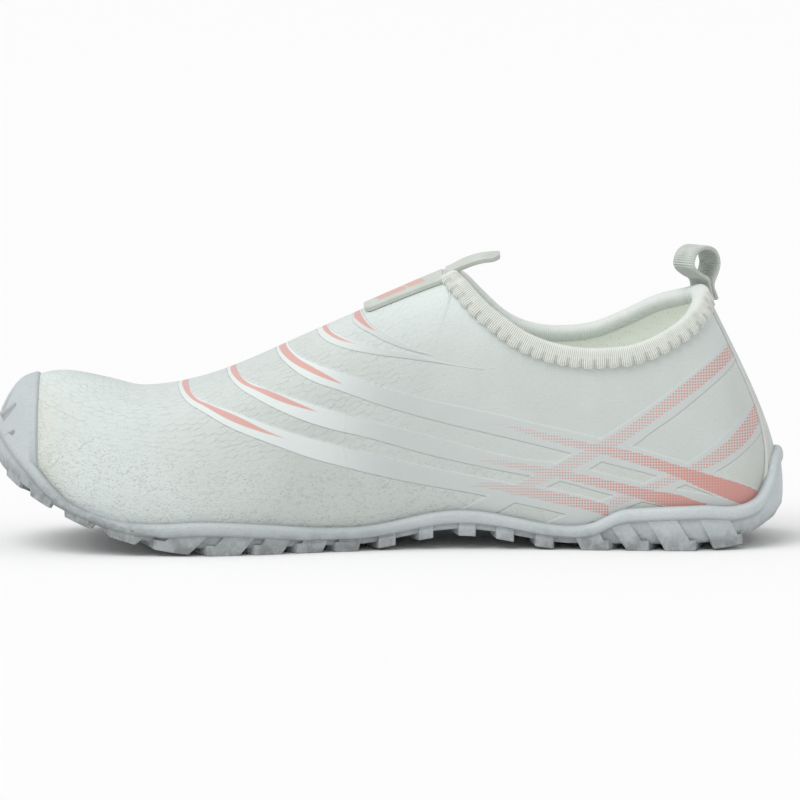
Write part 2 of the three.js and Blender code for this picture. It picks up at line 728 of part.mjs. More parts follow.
function collarBinding() {
  const skin = gap + bindingThickness;
  const fold = footForm(skin, 0).subtract(footForm(-wall - skin, 0));
  const channel = footForm(gap, cut).subtract(footForm(-wall - gap, 0)).subtract(overCollar(gap));
  const insideBelow = footForm(-wall / 2, cut).subtract(overCollar(-bindingInside));
  return fold
    .intersect(overCollar(-bindingHeight))
    .subtract(overCollar(bindingTop))
    .subtract(channel)
    .subtract(insideBelow)
    .subtract(pullTab(gap));
}

// Instep patch, in front of the binding

const patchBack = collarFront(bindingHeight) - gap;

function instepPatch() {
  const half = patchWidth / 2;
  const front = patchBack - patchLength;
  const shape = new THREE.Shape();
  shape.moveTo(patchBack + bindingHeight, -half);
  shape.lineTo(patchBack + bindingHeight, half);
  shape.lineTo(front + patchCorner, half);
  shape.absarc(front + patchCorner, half - patchCorner, patchCorner, Math.PI / 2, Math.PI, false);
  shape.absarc(front + patchCorner, -half + patchCorner, patchCorner, Math.PI, 1.5 * Math.PI, false);
  const middle = around(edgePlace(0.5 - front / length, true), "crestY").value;
  const ring = (z) => shape.getPoints(3).map((p) => new THREE.Vector3(p.x, p.y + middle, z));
  const blank = prismThrough([ring(collarHeight), ring(1.6 * instepHeight)], planView);
  return footForm(gap + patchThickness, 0)
    .subtract(footForm(gap, cut))
    .intersect(blank)
    .subtract(overCollar(-bindingHeight - gap));
}

// Pull tab behind the patch: out and rise are shares of tabLength
const tabPath = [
  { out: 0, rise: 0 },
  { out: 0.14, rise: 0.064 },
  { out: 0.27, rise: 0.135 },
  { out: 0.44, rise: 0.207 },
  { out: 0.66, rise: 0.268 },
  { out: 0.84, rise: 0.288 },
  { out: 1, rise: 0.296 },
];

function pullTab(grown) {
  const rootX = patchBack + 2 * gap;
  const rootZ = crestAt(rootX) + gap + tabThickness / 2;
  const middle = around(edgePlace(0.5 - rootX / length, true), "crestY").value;
  const points = tabPath.map(
    (row) => new THREE.Vector3(rootX + row.out * tabLength, 0, rootZ + row.rise * tabLength),
  );
  points[points.length - 1].x += grown;
  const curve = new THREE.CatmullRomCurve3(points, false, "centripetal");
  const steps = 10;
  const across = [-1, -0.5, 0, 0.5, 1];
  const rings = Array.from({ length: steps + 1 }, (_, i) => {
    const share = i / steps;
    const centre = curve.getPoint(share);
    const tangent = curve.getTangent(share);
    const normal = new THREE.Vector3(-tangent.z, 0, tangent.x);
    const tip = Math.max(0, (share - 0.8) / 0.2);
    const half = (tabWidth / 2) * Math.sqrt(1 - 0.6 * tip * tip) + grown;
    const curl = mix(1 / tabCrown, 1 / tabArch, Math.min(1, share / 0.4));
    const row = (lift) =>
      across.map((a) => {
        const sag = ((a * half) ** 2 * curl) / 2;
        const point = centre.clone().addScaledVector(normal, lift - sag);
        point.y = middle + a * half;
        return point;
      });
    return [...row(-tabThickness / 2 - grown), ...row(tabThickness / 2 + grown).reverse()];
  });
  if (grown > 0) {
    const ahead = curve.getTangent(0).multiplyScalar(-bindingHeight);
    rings.unshift(rings[0].map((p) => p.clone().add(ahead)));
  }
  return sheetSolid(rings);
}

// Heel strip, from the heel guard up to the binding: height is a share of the strip and
// half its half width, a share of stripWidth
const stripShape = [
  { along: 0, half: 1.25 },
  { along: 0.1, half: 0.85 },
  { along: 0.25, half: 0.6 },
  { along: 0.5, half: 0.5 },
  { along: 1, half: 0.4 },
];

function heelStrip() {
  const steps = 9;
  const across = [-1, -0.66, -0.33, 0, 0.33, 0.66, 1];
  const perSection = sectionAt(0).foot.distanceTo(sectionAt(1).foot);
  const rings = Array.from({ length: steps + 1 }, (_, i) => {
    const share = i / steps;
    const half = (readTable(stripShape, share, "half") * stripWidth) / perSection;
    const row = (offset) =>
      across.map((a) => {
        const u = (a * half + loopKeys) % loopKeys;
        const section = sectionAt(u);
        const low = readTable(rim, section.along, "cover") * rimHeight + gap + gap;
        return offsetPoint(u, mix(low, 0.8 * section.arc, share), offset);
      });
    return [...row(0), ...row(gap + stripThickness).reverse()];
  });
  return sheetSolid(rings)
    .subtract(footForm(gap, cut))
    .subtract(overCollar(-bindingHeight - gap))
    .subtract(overCollar(-bindingHeight));
}

// Pull loop of webbing, sewn to the outside of the collar on the lateral side of the heel. side
// runs from the strand next to the binding, -1, over the top to the outer strand, 1; height is a
// share of loopRise over the binding, or of loopFoot where it is below; open is the share of
// loopDepth.
const loopPath = [
  { side: -1, height: -1, open: 0 },
  { side: -1, height: -0.5, open: 0 },
  { side: -1, height: 0.15, open: 0 },
  { side: -1, height: 0.29, open: 0.45 },
  { side: -1, height: 0.45, open: 0.88 },
  { side: -1, height: 0.62, open: 1 },
  { side: -0.72, height: 0.88, open: 1 },
  { side: 0, height: 1, open: 1 },
  { side: 0.72, height: 0.88, open: 1 },
  { side: 1, height: 0.6, open: 1 },
  { side: 1, height: 0.36, open: 0.8 },
  { side: 1, height: 0.08, open: 0.2 },
  { side: 1, height: -0.2, open: 0 },
  { side: 1, height: -0.6, open: 0 },
  { side: 1, height: -1, open: 0 },
];

// Distance up a section at which its surface passes a height given for each point
function distanceTo(u, heightAt) {
  let low = 0;
  let high = sectionAt(u).arc;
  for (let i = 0; i < 30; i += 1) {
    const middle = (low + high) / 2;
    const point = surfacePoint(u, middle);
    if (point.z < heightAt(point)) low = middle;
    else high = middle;
  }
  return low;
}

// Height of the binding's top over a point of the wall
function bindingTopAt(point) {
  const side = (point.y / ballWidth + collarHalfWidth) / (2 * collarHalfWidth);
  const line = collarCurve(side, bindingTop);
  const next = Math.max(1, line.filter((p) => p.x <= point.x).length);
  const [a, b] = line.slice(Math.min(next, line.length - 1) - 1);
  return mix(a.z, b.z, (point.x - a.x) / (b.x - a.x));
}

function heelLoop() {
  const u = loopKeys - loopAt;
  const top = distanceTo(u, bindingTopAt);
  const base = surfacePoint(u, top);
  const outward = offsetPoint(u, top, 1).sub(base).setZ(0).normalize();
  const across = new THREE.Vector3(-outward.y, outward.x, 0);
  const skin = gap + bindingThickness + gap + loopThickness / 2;
  const doubled = skin + loopThickness + gap;
  const middle = base.dot(outward) + loopLean;
  const points = loopPath.map((row) => {
    const z = base.z + row.height * (row.height > 0 ? loopRise : loopFoot);
    const face = surfacePoint(u, distanceTo(u, () => Math.min(z, base.z))).dot(outward);
    const sewn = face + 1.15 * (row.side < 0 ? skin : doubled);
    const out = mix(sewn, middle + (loopDepth / 2) * row.side, row.open);
    return across.clone().multiplyScalar(base.dot(across)).addScaledVector(outward, out).setZ(z);
  });
  const curve = new THREE.CatmullRomCurve3(points, false, "centripetal");
  const steps = 26;
  const rings = Array.from({ length: steps + 1 }, (_, i) => {
    const centre = curve.getPoint(i / steps);
    const through = new THREE.Vector3().crossVectors(curve.getTangent(i / steps), across).normalize();
    const corner = (a, t) =>
      centre
        .clone()
        .addScaledVector(across, (a * loopWidth) / 2)
        .addScaledVector(through, (t * loopThickness) / 2);
    return [corner(-1, -1), corner(1, -1), corner(1, 1), corner(-1, 1)];
  });
  return sheetSolid(rings);
}

function meshOf(name, solid, look) {
  const data = solid.simplify(fineness).getMesh();
  const geometry = new THREE.BufferGeometry();
  geometry.setAttribute("position", new THREE.Float32BufferAttribute(data.vertProperties, 3));
  geometry.setIndex(Array.from(data.triVerts));
  const mesh = new THREE.Mesh(geometry, new THREE.MeshStandardMaterial(look));
  mesh.name = name;
  return mesh;
}

const shoe = new THREE.Group();
shoe.add(
  meshOf("outsole", outsole(), rubber),
  meshOf("insole", insole(), foam),
  meshOf("upper", upper(), knit),
  meshOf("collar_binding", collarBinding(), elastic),
  meshOf("instep_patch", instepPatch(), film),
  meshOf("instep_pull_tab", pullTab(0), film),
  meshOf("heel_strip", heelStrip(), film),
  meshOf("heel_pull_loop", heelLoop(), webbing),
);

// The origin is the middle of the bottom of the whole shoe.
const box = new THREE.Box3().setFromObject(shoe);
shoe.position.set(-(box.min.x + box.max.x) / 2, -(box.min.y + box.max.y) / 2, -box.min.z);
shoe.updateMatrixWorld(true);

export default shoe;
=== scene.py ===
import math
import bmesh
import bpy
import numpy as np
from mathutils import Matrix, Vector
from mathutils.bvhtree import BVHTree


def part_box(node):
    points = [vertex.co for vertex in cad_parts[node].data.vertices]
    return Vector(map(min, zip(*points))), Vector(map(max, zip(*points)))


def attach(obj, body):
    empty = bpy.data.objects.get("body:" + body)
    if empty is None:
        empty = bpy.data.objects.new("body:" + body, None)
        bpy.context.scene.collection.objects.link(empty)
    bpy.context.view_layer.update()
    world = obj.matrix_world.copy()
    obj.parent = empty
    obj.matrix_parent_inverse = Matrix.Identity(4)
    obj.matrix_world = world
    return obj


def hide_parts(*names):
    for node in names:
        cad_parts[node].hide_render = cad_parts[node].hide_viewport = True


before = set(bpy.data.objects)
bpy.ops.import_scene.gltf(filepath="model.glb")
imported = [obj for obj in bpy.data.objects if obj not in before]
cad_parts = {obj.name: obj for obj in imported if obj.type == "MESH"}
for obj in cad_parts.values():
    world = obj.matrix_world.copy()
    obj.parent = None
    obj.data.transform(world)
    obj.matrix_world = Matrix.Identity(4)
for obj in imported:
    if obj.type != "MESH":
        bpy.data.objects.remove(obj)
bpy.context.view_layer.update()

# Sizes are in millimetres on the foot form and become metres when a vertex is placed.
mm = 0.001
gap = 0.3  # between pieces that touch

form = {
    "length": 262,
    "ballWidth": 96,
    "instepHeight": 88.7,
    "collarHeight": 65.1,
    "heelHeight": 82.8,
    "toeSpring": 26.5,
    "toeSpringRun": 76,
    "archRise": 4.5,
    "archAt": 0.413,  # from the heel, and half its span, shares of length
    "archSpan": 0.143,
    "heelBevel": 6,
    "heelBevelRun": 36,
    "soleFloor": 4.8,  # the foot bed over the tread: base and lugDepth of the sole
    "shift": (0.406, 0.41, 0),  # from the form's own origin to the frame's
}

sole = {
    "base": 2.8,  # web of rubber over the lugs
    "lugDepth": 2,
    "rimHeight": 10,
    "rimTop": 2,
    "sideDepth": 2.4,
    "beadDepth": 4.2,
    "beadHeight": 4.6,
    "lugSet": 0.6,
    "cornerRadius": 6,
}

# From the back of the heel to the tip of the toe: the sole's half widths, the middle of the
# foot bed, the ridge and the handles of each section, all shares of the form's sizes.
sectionFields = (
    "along inner outer spine crest heel instep lean rise flareIn flareOut crown drop".split()
)
sectionRows = [
    (0, 0, 0, 0.12, 0.158, 1.389, 0, 0, 0.27, 0.06, 0.06, 0.15, 0.47),
    (0.035, 0.245, 0.245, 0.13, 0.166, 1.377, 0, 0, 0.29, 0.045, 0.03, 0.22, 0.38),
    (0.11, 0.335, 0.335, 0.17, 0.194, 1.365, 0, 0, 0.31, 0.05, 0.03, 0.28, 0.28),
    (0.22, 0.325, 0.345, 0.25, 0.248, 1.353, 0, 0, 0.33, 0.06, 0.03, 0.32, 0.2),
    (0.34, 0.3, 0.365, 0.35, 0.332, 1.256, 0, 0, 0.31, 0.06, 0.02, 0.3, 0.1),
    (0.46, 0.3, 0.4, 0.44, 0.397, 0, 1.05, -0.01, 0.32, 0.07, 0.01, 0.27, 0.005),
    (0.58, 0.37, 0.45, 0.55, 0.477, 0, 0.948, -0.02, 0.32, 0.06, 0, 0.27, 0),
    (0.7, 0.46, 0.475, 0.66, 0.592, 0, 0.8, -0.03, 0.35, 0.05, 0.01, 0.28, 0),
    (0.81, 0.475, 0.42, 0.75, 0.714, 0, 0.645, -0.05, 0.45, 0.05, 0.02, 0.29, 0),
    (0.905, 0.43, 0.29, 0.82, 0.798, 0, 0.588, -0.06, 0.58, 0.04, 0.025, 0.28, -0.03),
    (0.97, 0.32, 0.13, 0.86, 0.844, 0, 0.604, -0.06, 0.6, 0.03, 0.025, 0.28, -0.12),
    (1, 0.1, -0.1, 0.88, 0.866, 0, 0.616, -0.06, 0.68, 0.023, 0.023, 0.28, -0.17),
]
sections = [dict(zip(sectionFields, row)) for row in sectionRows]
lastSection = len(sections) - 1
loopKeys = 2 * lastSection

# The sole's rim: its height over the foot bed, how far the bead stands out, and the radius
# of the lower corner, shares of the sole's sizes.
rimRows = [
    (0, 2.15, 0.9, 1),
    (0.009, 1.95, 0.92, 1),
    (0.02, 1.36, 0.94, 0.95),
    (0.034, 0.94, 0.96, 0.85),
    (0.064, 0.84, 1, 0.6),
    (0.11, 1.02, 1, 0.4),
    (0.19, 0.96, 1, 0.25),
    (0.215, 0.86, 1, 0.25),
    (0.25, 0.44, 1, 0.25),
    (0.28, 0.34, 1, 0.25),
    (0.42, 0.4, 0.95, 0.25),
    (0.58, 0.36, 1, 0.25),
    (0.66, 0.54, 1, 0.25),
    (0.735, 0.63, 1, 0.25),
    (0.79, 0.4, 1, 0.25),
    (0.835, 0.18, 1, 0.25),
    (0.88, 0.09, 0.95, 0.25),
    (0.915, 0.18, 0.88, 0.3),
    (0.96, 0.8, 0.72, 0.35),
    (1, 1.3, 0.62, 0.35),
]
rim = [dict(zip(("along", "cover", "bead", "corner"), row)) for row in rimRows]

# The collar's edge: place, and its height on the medial and the lateral side, each a share
# of the climb from collarHeight to the peak that is named
collarRows = [
    (0.103, 1, 1.15, "heelHeight"),
    (0.109, 0.797, 1.1, "heelHeight"),
    (0.125, 0.52, 1, "heelHeight"),
    (0.16, 0.254, 0.78, "heelHeight"),
    (0.196, 0.068, 0.46, "heelHeight"),
    (0.234, 0, 0.2, "heelHeight"),
    (0.266, 0, 0.085, "instepHeight"),
    (0.304, 0.076, 0.09, "instepHeight"),
    (0.336, 0.22, 0.18, "instepHeight"),
    (0.361, 0.41, 0.34, "instepHeight"),
    (0.387, 0.636, 0.62, "instepHeight"),
    (0.41, 0.9, 0.9, "instepHeight"),
    (0.4218, 1, 1, "instepHeight"),
]
collar = [
    {
        "along": along,
        "medial": form["collarHeight"] + medial * (form[peak] - form["collarHeight"]),
        "lateral": form["collarHeight"] + lateral * (form[peak] - form["collarHeight"]),
    }
    for along, medial, lateral, peak in collarRows
]
collarHalfWidth = 0.25  # where the two edges lie across, share of ballWidth
collarFrontLean = 0.2  # slope of the edge's short rise to the ridge in front


def placeAlong(share):
    return form["length"] * (0.5 - share)


def mix(a, b, t):
    return a + (b - a) * t


def smooth(t):
    t = np.clip(t, 0, 1)
    return t * t * (3 - 2 * t)


# Height of the tread over the floor
def under(x):
    fromHeel = form["length"] / 2 - x
    fromToe = form["length"] / 2 + x
    toe = np.maximum(0, 1 - fromToe / form["toeSpringRun"])
    heel = np.maximum(0, 1 - fromHeel / form["heelBevelRun"])
    archAt, archSpan = form["archAt"] * form["length"], form["archSpan"] * form["length"]
    arch = np.minimum(1, np.abs(fromHeel - archAt) / archSpan)
    return (
        form["toeSpring"] * toe**2
        + form["heelBevel"] * heel**2
        + form["archRise"] * np.cos(arch * math.pi / 2) ** 2
    )


# Smooth value of one column of a table that is ordered by along
def readTable(rows, along, column):
    place = np.array([row["along"] for row in rows], float)
    value = np.array([row[column] for row in rows], float)
    before = np.maximum(0, np.arange(len(rows)) - 1)
    after = np.minimum(len(rows) - 1, np.arange(len(rows)) + 1)
    slope = (value[after] - value[before]) / (place[after] - place[before])
    i = np.clip(np.searchsorted(place, along, side="left") - 1, 0, len(rows) - 2)
    span = place[i + 1] - place[i]
    t = np.clip((along - place[i]) / span, 0, 1)
    return (
        (2 * t**3 - 3 * t**2 + 1) * value[i]
        + (t**3 - 2 * t**2 + t) * span * slope[i]
        + (3 * t**2 - 2 * t**3) * value[i + 1]
        + (t**3 - t**2) * span * slope[i + 1]
    )


def crestHeight(row):
    return row["heel"] * form["heelHeight"] + row["instep"] * form["instepHeight"]


# The sections taken round the shoe once: heel, medial side, toe, lateral side
def loopOfKeys():
    keys = []
    for m in range(loopKeys):
        k = m if m <= lastSection else loopKeys - m
        row = sections[k]
        before, after = sections[max(0, k - 1)], sections[min(lastSection, k + 1)]
        medial = m <= lastSection
        width = form["ballWidth"]
        run = placeAlong(after["crest"]) - placeAlong(before["crest"])
        keys.append({
            "edgeX": placeAlong(row["along"]),
            "edgeY": (-row["inner"] if medial else row["outer"]) * width,
            "spineX": placeAlong(row["spine"]),
            "spineY": (row["outer"] - row["inner"]) / 2 * width,
            "crestX": placeAlong(row["crest"]),
            "crestY": row["lean"] * width,
            "crestZ": crestHeight(row),
            "slope": (crestHeight(after) - crestHeight(before)) / run,
            "rise": row["rise"],
            "drop": row["drop"],
            "flare": (row["flareIn"] if medial else row["flareOut"]) * width,
            "crown": row["crown"] * width,
        })
    return {field: np.array([key[field] for key in keys], float) for field in keys[0]}


keys = loopOfKeys()


# Value of one field round the loop, and its rate
def around(u, field):
    base = np.floor(u).astype(int)
    t = u - base
    a, b, c, d = (keys[field][(base + i) % loopKeys] for i in (-1, 0, 1, 2))
    linear, square, cube = (c - a) / 2, a - 2.5 * b + 2 * c - d / 2, (d - a) / 2 + 1.5 * (b - c)
    return ((cube * t + square) * t + linear) * t + b, (3 * cube * t + 2 * square) * t + linear


def stack(x, y, z):
    return np.stack(np.broadcast_arrays(x, y, z), -1).astype(float)


# Distance along each line of points, from its start
def runAlong(points):
    steps = np.linalg.norm(np.diff(points, axis=-2), axis=-1)
    return np.concatenate([np.zeros_like(steps[..., :1]), np.cumsum(steps, axis=-1)], axis=-1)


def unit(vectors):
    return vectors / np.maximum(np.linalg.norm(vectors, axis=-1, keepdims=True), 1e-9)


# Sections of the form at places u round the loop, each a curve from the sole's edge to the ridge
class Section:
    steps = np.linspace(0, 1, 41)

    def __init__(self, u):
        self.u = np.asarray(u, float)
        edgeX, rateX = around(self.u, "edgeX")
        edgeY, rateY = around(self.u, "edgeY")
        self.out = unit(stack(-rateY, rateX, 0))
        self.along = 0.5 - edgeX / form["length"]
        self.bead = readTable(rim, self.along, "bead") * sole["beadDepth"]
        self.foot = stack(edgeX, edgeY, 0) - self.out * self.bead[:, None]
        self.foot[:, 2] = under(self.foot[:, 0]) + form["soleFloor"]
        self.crest = stack(*(around(self.u, name)[0] for name in ("crestX", "crestY", "crestZ")))
        self.slope = around(self.u, "slope")[0]
        crown = around(self.u, "crown")[0]
        height = self.crest[:, 2] - self.foot[:, 2]
        self.low = self.foot + self.out * around(self.u, "flare")[0][:, None]
        self.low[:, 2] += around(self.u, "rise")[0] * height
        self.high = self.crest + self.out * crown[:, None]
        self.high[:, 2] += self.slope * self.out[:, 0] * crown - around(self.u, "drop")[0] * height
        self.runs = runAlong(self.curve(self.steps[None, :]))
        self.arc = self.runs[:, -1]

    # Points of each section's curve at t, one row of t for each section
    def curve(self, t):
        t = np.broadcast_to(t, (len(self.u), t.shape[-1]))[..., None]
        a, b, c, d = (p[:, None, :] for p in (self.foot, self.low, self.high, self.crest))
        return (1 - t) ** 3 * a + 3 * (1 - t) ** 2 * t * b + 3 * (1 - t) * t**2 * c + t**3 * d

    # Points at a distance up from the foot, one for each section
    def at(self, distance):
        reach = np.clip(distance, 0, self.arc)
        i = np.clip((self.runs < reach[:, None]).sum(1) - 1, 0, len(self.steps) - 2)
        row = np.arange(len(self.u))
        low, high = self.runs[row, i], self.runs[row, i + 1]
        t = (i + (reach - low) / np.maximum(high - low, 1e-9)) / (len(self.steps) - 1)
        points = self.curve(t[:, None])[:, 0, :]
        points[:, 2] += np.minimum(distance, 0)
        return points


# Outward direction of the form at a distance up each section
def formNormal(section, distance):
    du, dd = 0.04, 0.3
    share = distance / section.arc
    ahead, behind = Section(section.u + du), Section(section.u - du)
    alongU = ahead.at(share * ahead.arc) - behind.at(share * behind.arc)
    upward = section.at(np.minimum(distance + dd, section.arc)) - section.at(distance - dd)
    normal = unit(np.cross(upward, alongU))
    normal = np.where((distance <= 0)[:, None], section.out, normal)
    ridge = unit(stack(-section.slope, 0, 1))
    return np.where((distance >= section.arc - 0.01)[:, None], ridge, normal)


# Points of the form at u and a distance up the section, moved out of it by offset
def onForm(u, distance, offset=0.0):
    section = Section(u)
    distance = np.broadcast_to(np.asarray(distance, float), section.arc.shape)
    points = section.at(distance)
    return points + formNormal(section, distance) * np.reshape(offset, (-1, 1))


# How far a point is over the collar's edge, negative below it
def overCollar(points):
    along = 0.5 - points[:, 0] / form["length"]
    share = (points[:, 1] / form["ballWidth"] + collarHalfWidth) / (2 * collarHalfWidth)
    edge = mix(readTable(collar, along, "medial"), readTable(collar, along, "lateral"), share)
    last, inner = collar[:2]
    run = inner["along"] - last["along"]
    steep = [(inner[side] - last[side]) / run for side in ("medial", "lateral")]
    edge = edge + mix(*steep, share) * np.minimum(0, along - last["along"])
    front = placeAlong(collar[-1]["along"])
    ahead = points[:, 0] - front + collarFrontLean * (points[:, 2] - collar[-1]["medial"])
    return np.minimum(points[:, 2] - edge, ahead)


# Distance up each section at which rule turns positive, or the whole section, and whether it does
def reachUp(u, rule, steps=300):
    section = Section(u)
    shares = np.linspace(0.02, 1, steps)
    points = section.curve(shares[None, :])
    run = runAlong(points)
    run += section.arc[:, None] - run[:, -1:]
    value = rule(points.reshape(-1, 3)).reshape(len(u), steps)
    reach = section.arc.copy()
    crosses = value.max(1) > 0
    first = np.argmax(value > 0, axis=1)
    begun = np.nonzero(crosses & (first == 0))[0]
    reach[begun] = run[begun, 0]
    row = np.nonzero(crosses & (first > 0))[0]
    i = first[row]
    a, b = value[row, i - 1], value[row, i]
    reach[row] = mix(run[row, i - 1], run[row, i], -a / (b - a))
    return reach, crosses


# Meshes

def placed(point):
    return Vector([(c + s) * mm for c, s in zip(point, form["shift"])])


# A grid of columns by rows whose vertices place(a, b) maps, with its pattern's UVs in metres
def gridPiece(name, columns, rows, place, closed=False, weld=0.01):
    bm = bmesh.new()
    bmesh.ops.create_grid(bm, x_segments=columns, y_segments=rows, size=0.5)
    bm.verts.index_update()
    shares = np.array([(vert.co.x + 0.5, vert.co.y + 0.5) for vert in bm.verts])
    points, pattern = place(shares[:, 0], shares[:, 1])
    for vert, point in zip(bm.verts, points):
        vert.co = placed(point)
    layer = bm.loops.layers.uv.new("pattern")
    for face in bm.faces:
        for corner in face.loops:
            corner[layer].uv = pattern[corner.vert.index] * mm
    bmesh.ops.remove_doubles(bm, verts=bm.verts, dist=weld * mm)
    bmesh.ops.dissolve_degenerate(bm, edges=bm.edges, dist=weld * mm * 0.1)
    if closed:
        bmesh.ops.recalc_face_normals(bm, faces=bm.faces)
    return finished(name, bm)


def finished(name, bm, smoothShading=True):
    mesh = bpy.data.meshes.new(name)
    for face in bm.faces:
        face.smooth = smoothShading
    bm.to_mesh(mesh)
    bm.free()
    piece = bpy.data.objects.new(name, mesh)
    bpy.context.scene.collection.objects.link(piece)
    return piece


# Faces turned away from a point behind them, in metres, or from the piece's own middle
def turnOutward(piece, behind=None):
    mesh = piece.data
    middle = sum((vert.co for vert in mesh.vertices), Vector()) / len(mesh.vertices)
    middle = middle if behind is None else Vector(behind)
    facing = sum(p.normal.dot((p.center - middle).normalized()) * p.area for p in mesh.polygons)
    if facing < 0:
        mesh.flip_normals()
    return piece


def solidify(piece, thickness, even=True):
    wall = piece.modifiers.new("wall", "SOLIDIFY")
    wall.thickness = thickness * mm
    wall.offset = -1
    wall.use_even_offset = even
    return piece


def bevelEdges(piece, width, segments=2, angle=40):
    bevel = piece.modifiers.new("bevel", "BEVEL")
    bevel.width = width * mm
    bevel.segments = segments
    bevel.limit_method = "ANGLE"
    bevel.angle_limit = math.radians(angle)
    bevel.profile = 0.5
    bevel.material = -1
    bevel.use_clamp_overlap = True
    return piece


# The piece takes a CAD node's place, with the material given, if any
def settle(piece, material, node):
    if material:
        piece.data.materials.append(material)
    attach(piece, "root")
    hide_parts(node)
    triangles = sum(len(p.vertices) - 2 for p in piece.data.polygons)
    print("piece", piece.name, triangles, "triangles before modifiers")
    return piece


# Shader maths

# One output of a node, with the sums that can be made of it
class Signal:
    def __init__(self, shader, socket):
        self.shader = shader
        self.socket = socket

    def math(self, operation, *others, swap=False):
        values = [self, *others]
        if swap:
            values.reverse()
        return self.shader.node("ShaderNodeMath", {"operation": operation}, dict(enumerate(values)))

    def __add__(self, other):
        return self.math("ADD", other)

    def __sub__(self, other):
        return self.math("SUBTRACT", other)

    def __rsub__(self, other):
        return self.math("SUBTRACT", other, swap=True)

    def __mul__(self, other):
        return self.math("MULTIPLY", other)

    def __truediv__(self, other):
        return self.math("DIVIDE", other)

    def __pow__(self, other):
        return self.math("POWER", other)

    def __abs__(self):
        return self.math("ABSOLUTE")

    __radd__ = __add__
    __rmul__ = __mul__

    def least(self, other):
        return self.math("MINIMUM", other)

    def most(self, other):
        return self.math("MAXIMUM", other)

    def step(self, low, high):
        return self.shader.node(
            "ShaderNodeMapRange",
            {"interpolation_type": "SMOOTHSTEP", "clamp": True},
            {"Value": self, "From Min": low, "From Max": high, "To Min": 0.0, "To Max": 1.0},
        )


# One material and the nodes that feed it; patterns and places are in millimetres
class Shader:
    def __init__(self, name, color, roughness, **fixed):
        self.material = bpy.data.materials.new(name)
        self.material.use_nodes = True
        self.tree = self.material.node_tree
        self.surface = self.tree.nodes["Principled BSDF"]
        self.surface.inputs["Base Color"].default_value = (*color, 1)
        self.surface.inputs["Roughness"].default_value = roughness
        self.material.diffuse_color = (*color, 1)
        for socket, value in fixed.items():
            self.surface.inputs[socket.replace("_", " ")].default_value = value

    def node(self, kind, settings=None, values=None, output=0):
        made = self.tree.nodes.new(kind)
        for key, value in (settings or {}).items():
            if key == "points":
                curve = made.mapping.curves[0]
                for place in value[1:-1]:
                    curve.points.new(*place)
                curve.points[0].location = value[0]
                curve.points[-1].location = value[-1]
                made.mapping.use_clip = False
                made.mapping.update()
            else:
                setattr(made, key, value)
        for key, value in (values or {}).items():
            if isinstance(value, Signal):
                self.tree.links.new(value.socket, made.inputs[key])
            else:
                made.inputs[key].default_value = value
        return Signal(self, made.outputs[output])

    def feed(self, socket, signal):
        self.tree.links.new(signal.socket, self.surface.inputs[socket])

    # The position's vector, the place from the back of the heel, and the height over the floor
    def onShoe(self):
        vector = self.node("ShaderNodeTexCoord", output="Object")
        x, z = self.split(vector)[::2]
        return vector, form["length"] / 2 + form["shift"][0] - x / mm, z / mm

    # The pattern's vector and its two coordinates
    def pattern(self):
        vector = self.node("ShaderNodeUVMap", {"uv_map": "pattern"})
        u, v = self.split(vector)[:2]
        return vector, u / mm, v / mm

    def split(self, vector):
        made = self.tree.nodes.new("ShaderNodeSeparateXYZ")
        self.tree.links.new(vector.socket, made.inputs[0])
        return [Signal(self, output) for output in made.outputs]

    def join(self, x, y):
        return self.node("ShaderNodeCombineXYZ", {}, {0: x, 1: y})

    def noise(self, vector, size, detail=2.0, roughness=0.5):
        values = {"Vector": vector, "Scale": 1 / (size * mm), "Detail": detail, "Roughness": roughness}
        return self.node("ShaderNodeTexNoise", {}, values)

    # Distance from the middle of the nearest cell, with cells one unit wide
    def cells(self, x, y, randomness=1.0):
        values = {"Vector": self.join(x, y), "Scale": 1.0, "Randomness": randomness}
        return self.node("ShaderNodeTexVoronoi", {}, values)

    # Even ribs: 1 on the top of each, 0 in the grooves
    def ribs(self, along, pitch):
        return abs((along * (math.pi / pitch)).math("SINE"))

    def blend(self, factor, a, b):
        made = self.tree.nodes.new("ShaderNodeMix")
        made.data_type = "RGBA"
        for index, value in ((0, factor), (6, a), (7, b)):
            if isinstance(value, Signal):
                self.tree.links.new(value.socket, made.inputs[index])
            else:
                made.inputs[index].default_value = (*value, 1) if index else value
        return Signal(self, made.outputs[2])

    # Colours laid one over another, each a name or a signal, into the base colour
    def paint(self, first, layers):
        base = colors[first]
        for factor, color in layers:
            base = self.blend(factor, base, colors[color] if isinstance(color, str) else color)
        self.feed("Base Color", base)

    def bump(self, height, depth, strength=1.0):
        values = {"Height": height, "Distance": depth * mm, "Strength": strength}
        self.feed("Normal", self.node("ShaderNodeBump", {}, values))


# Colours are linear.
colors = {
    "knit": (0.585, 0.625, 0.6),
    "knitDeep": (0.42, 0.45, 0.42),
    "knitBright": (0.8, 0.89, 0.87),
    "film": (0.575, 0.61, 0.605),
    "filmBright": (0.76, 0.82, 0.81),
    "pink": (0.63, 0.25, 0.21),
    "pinkPale": (0.71, 0.395, 0.345),
    "tan": (0.62, 0.55, 0.42),
    "rubber": (0.5, 0.545, 0.555),
    "rubberBright": (0.6, 0.655, 0.665),
    "rubberDeep": (0.2, 0.212, 0.215),
    "trim": (0.53, 0.565, 0.51),
    "elastic": (0.79, 0.82, 0.76),
    "elasticDeep": (0.3, 0.32, 0.28),
    "webbing": (0.52, 0.555, 0.515),
    "lining": (0.88, 0.91, 0.86),
    "foam": (0.78, 0.8, 0.74),
}

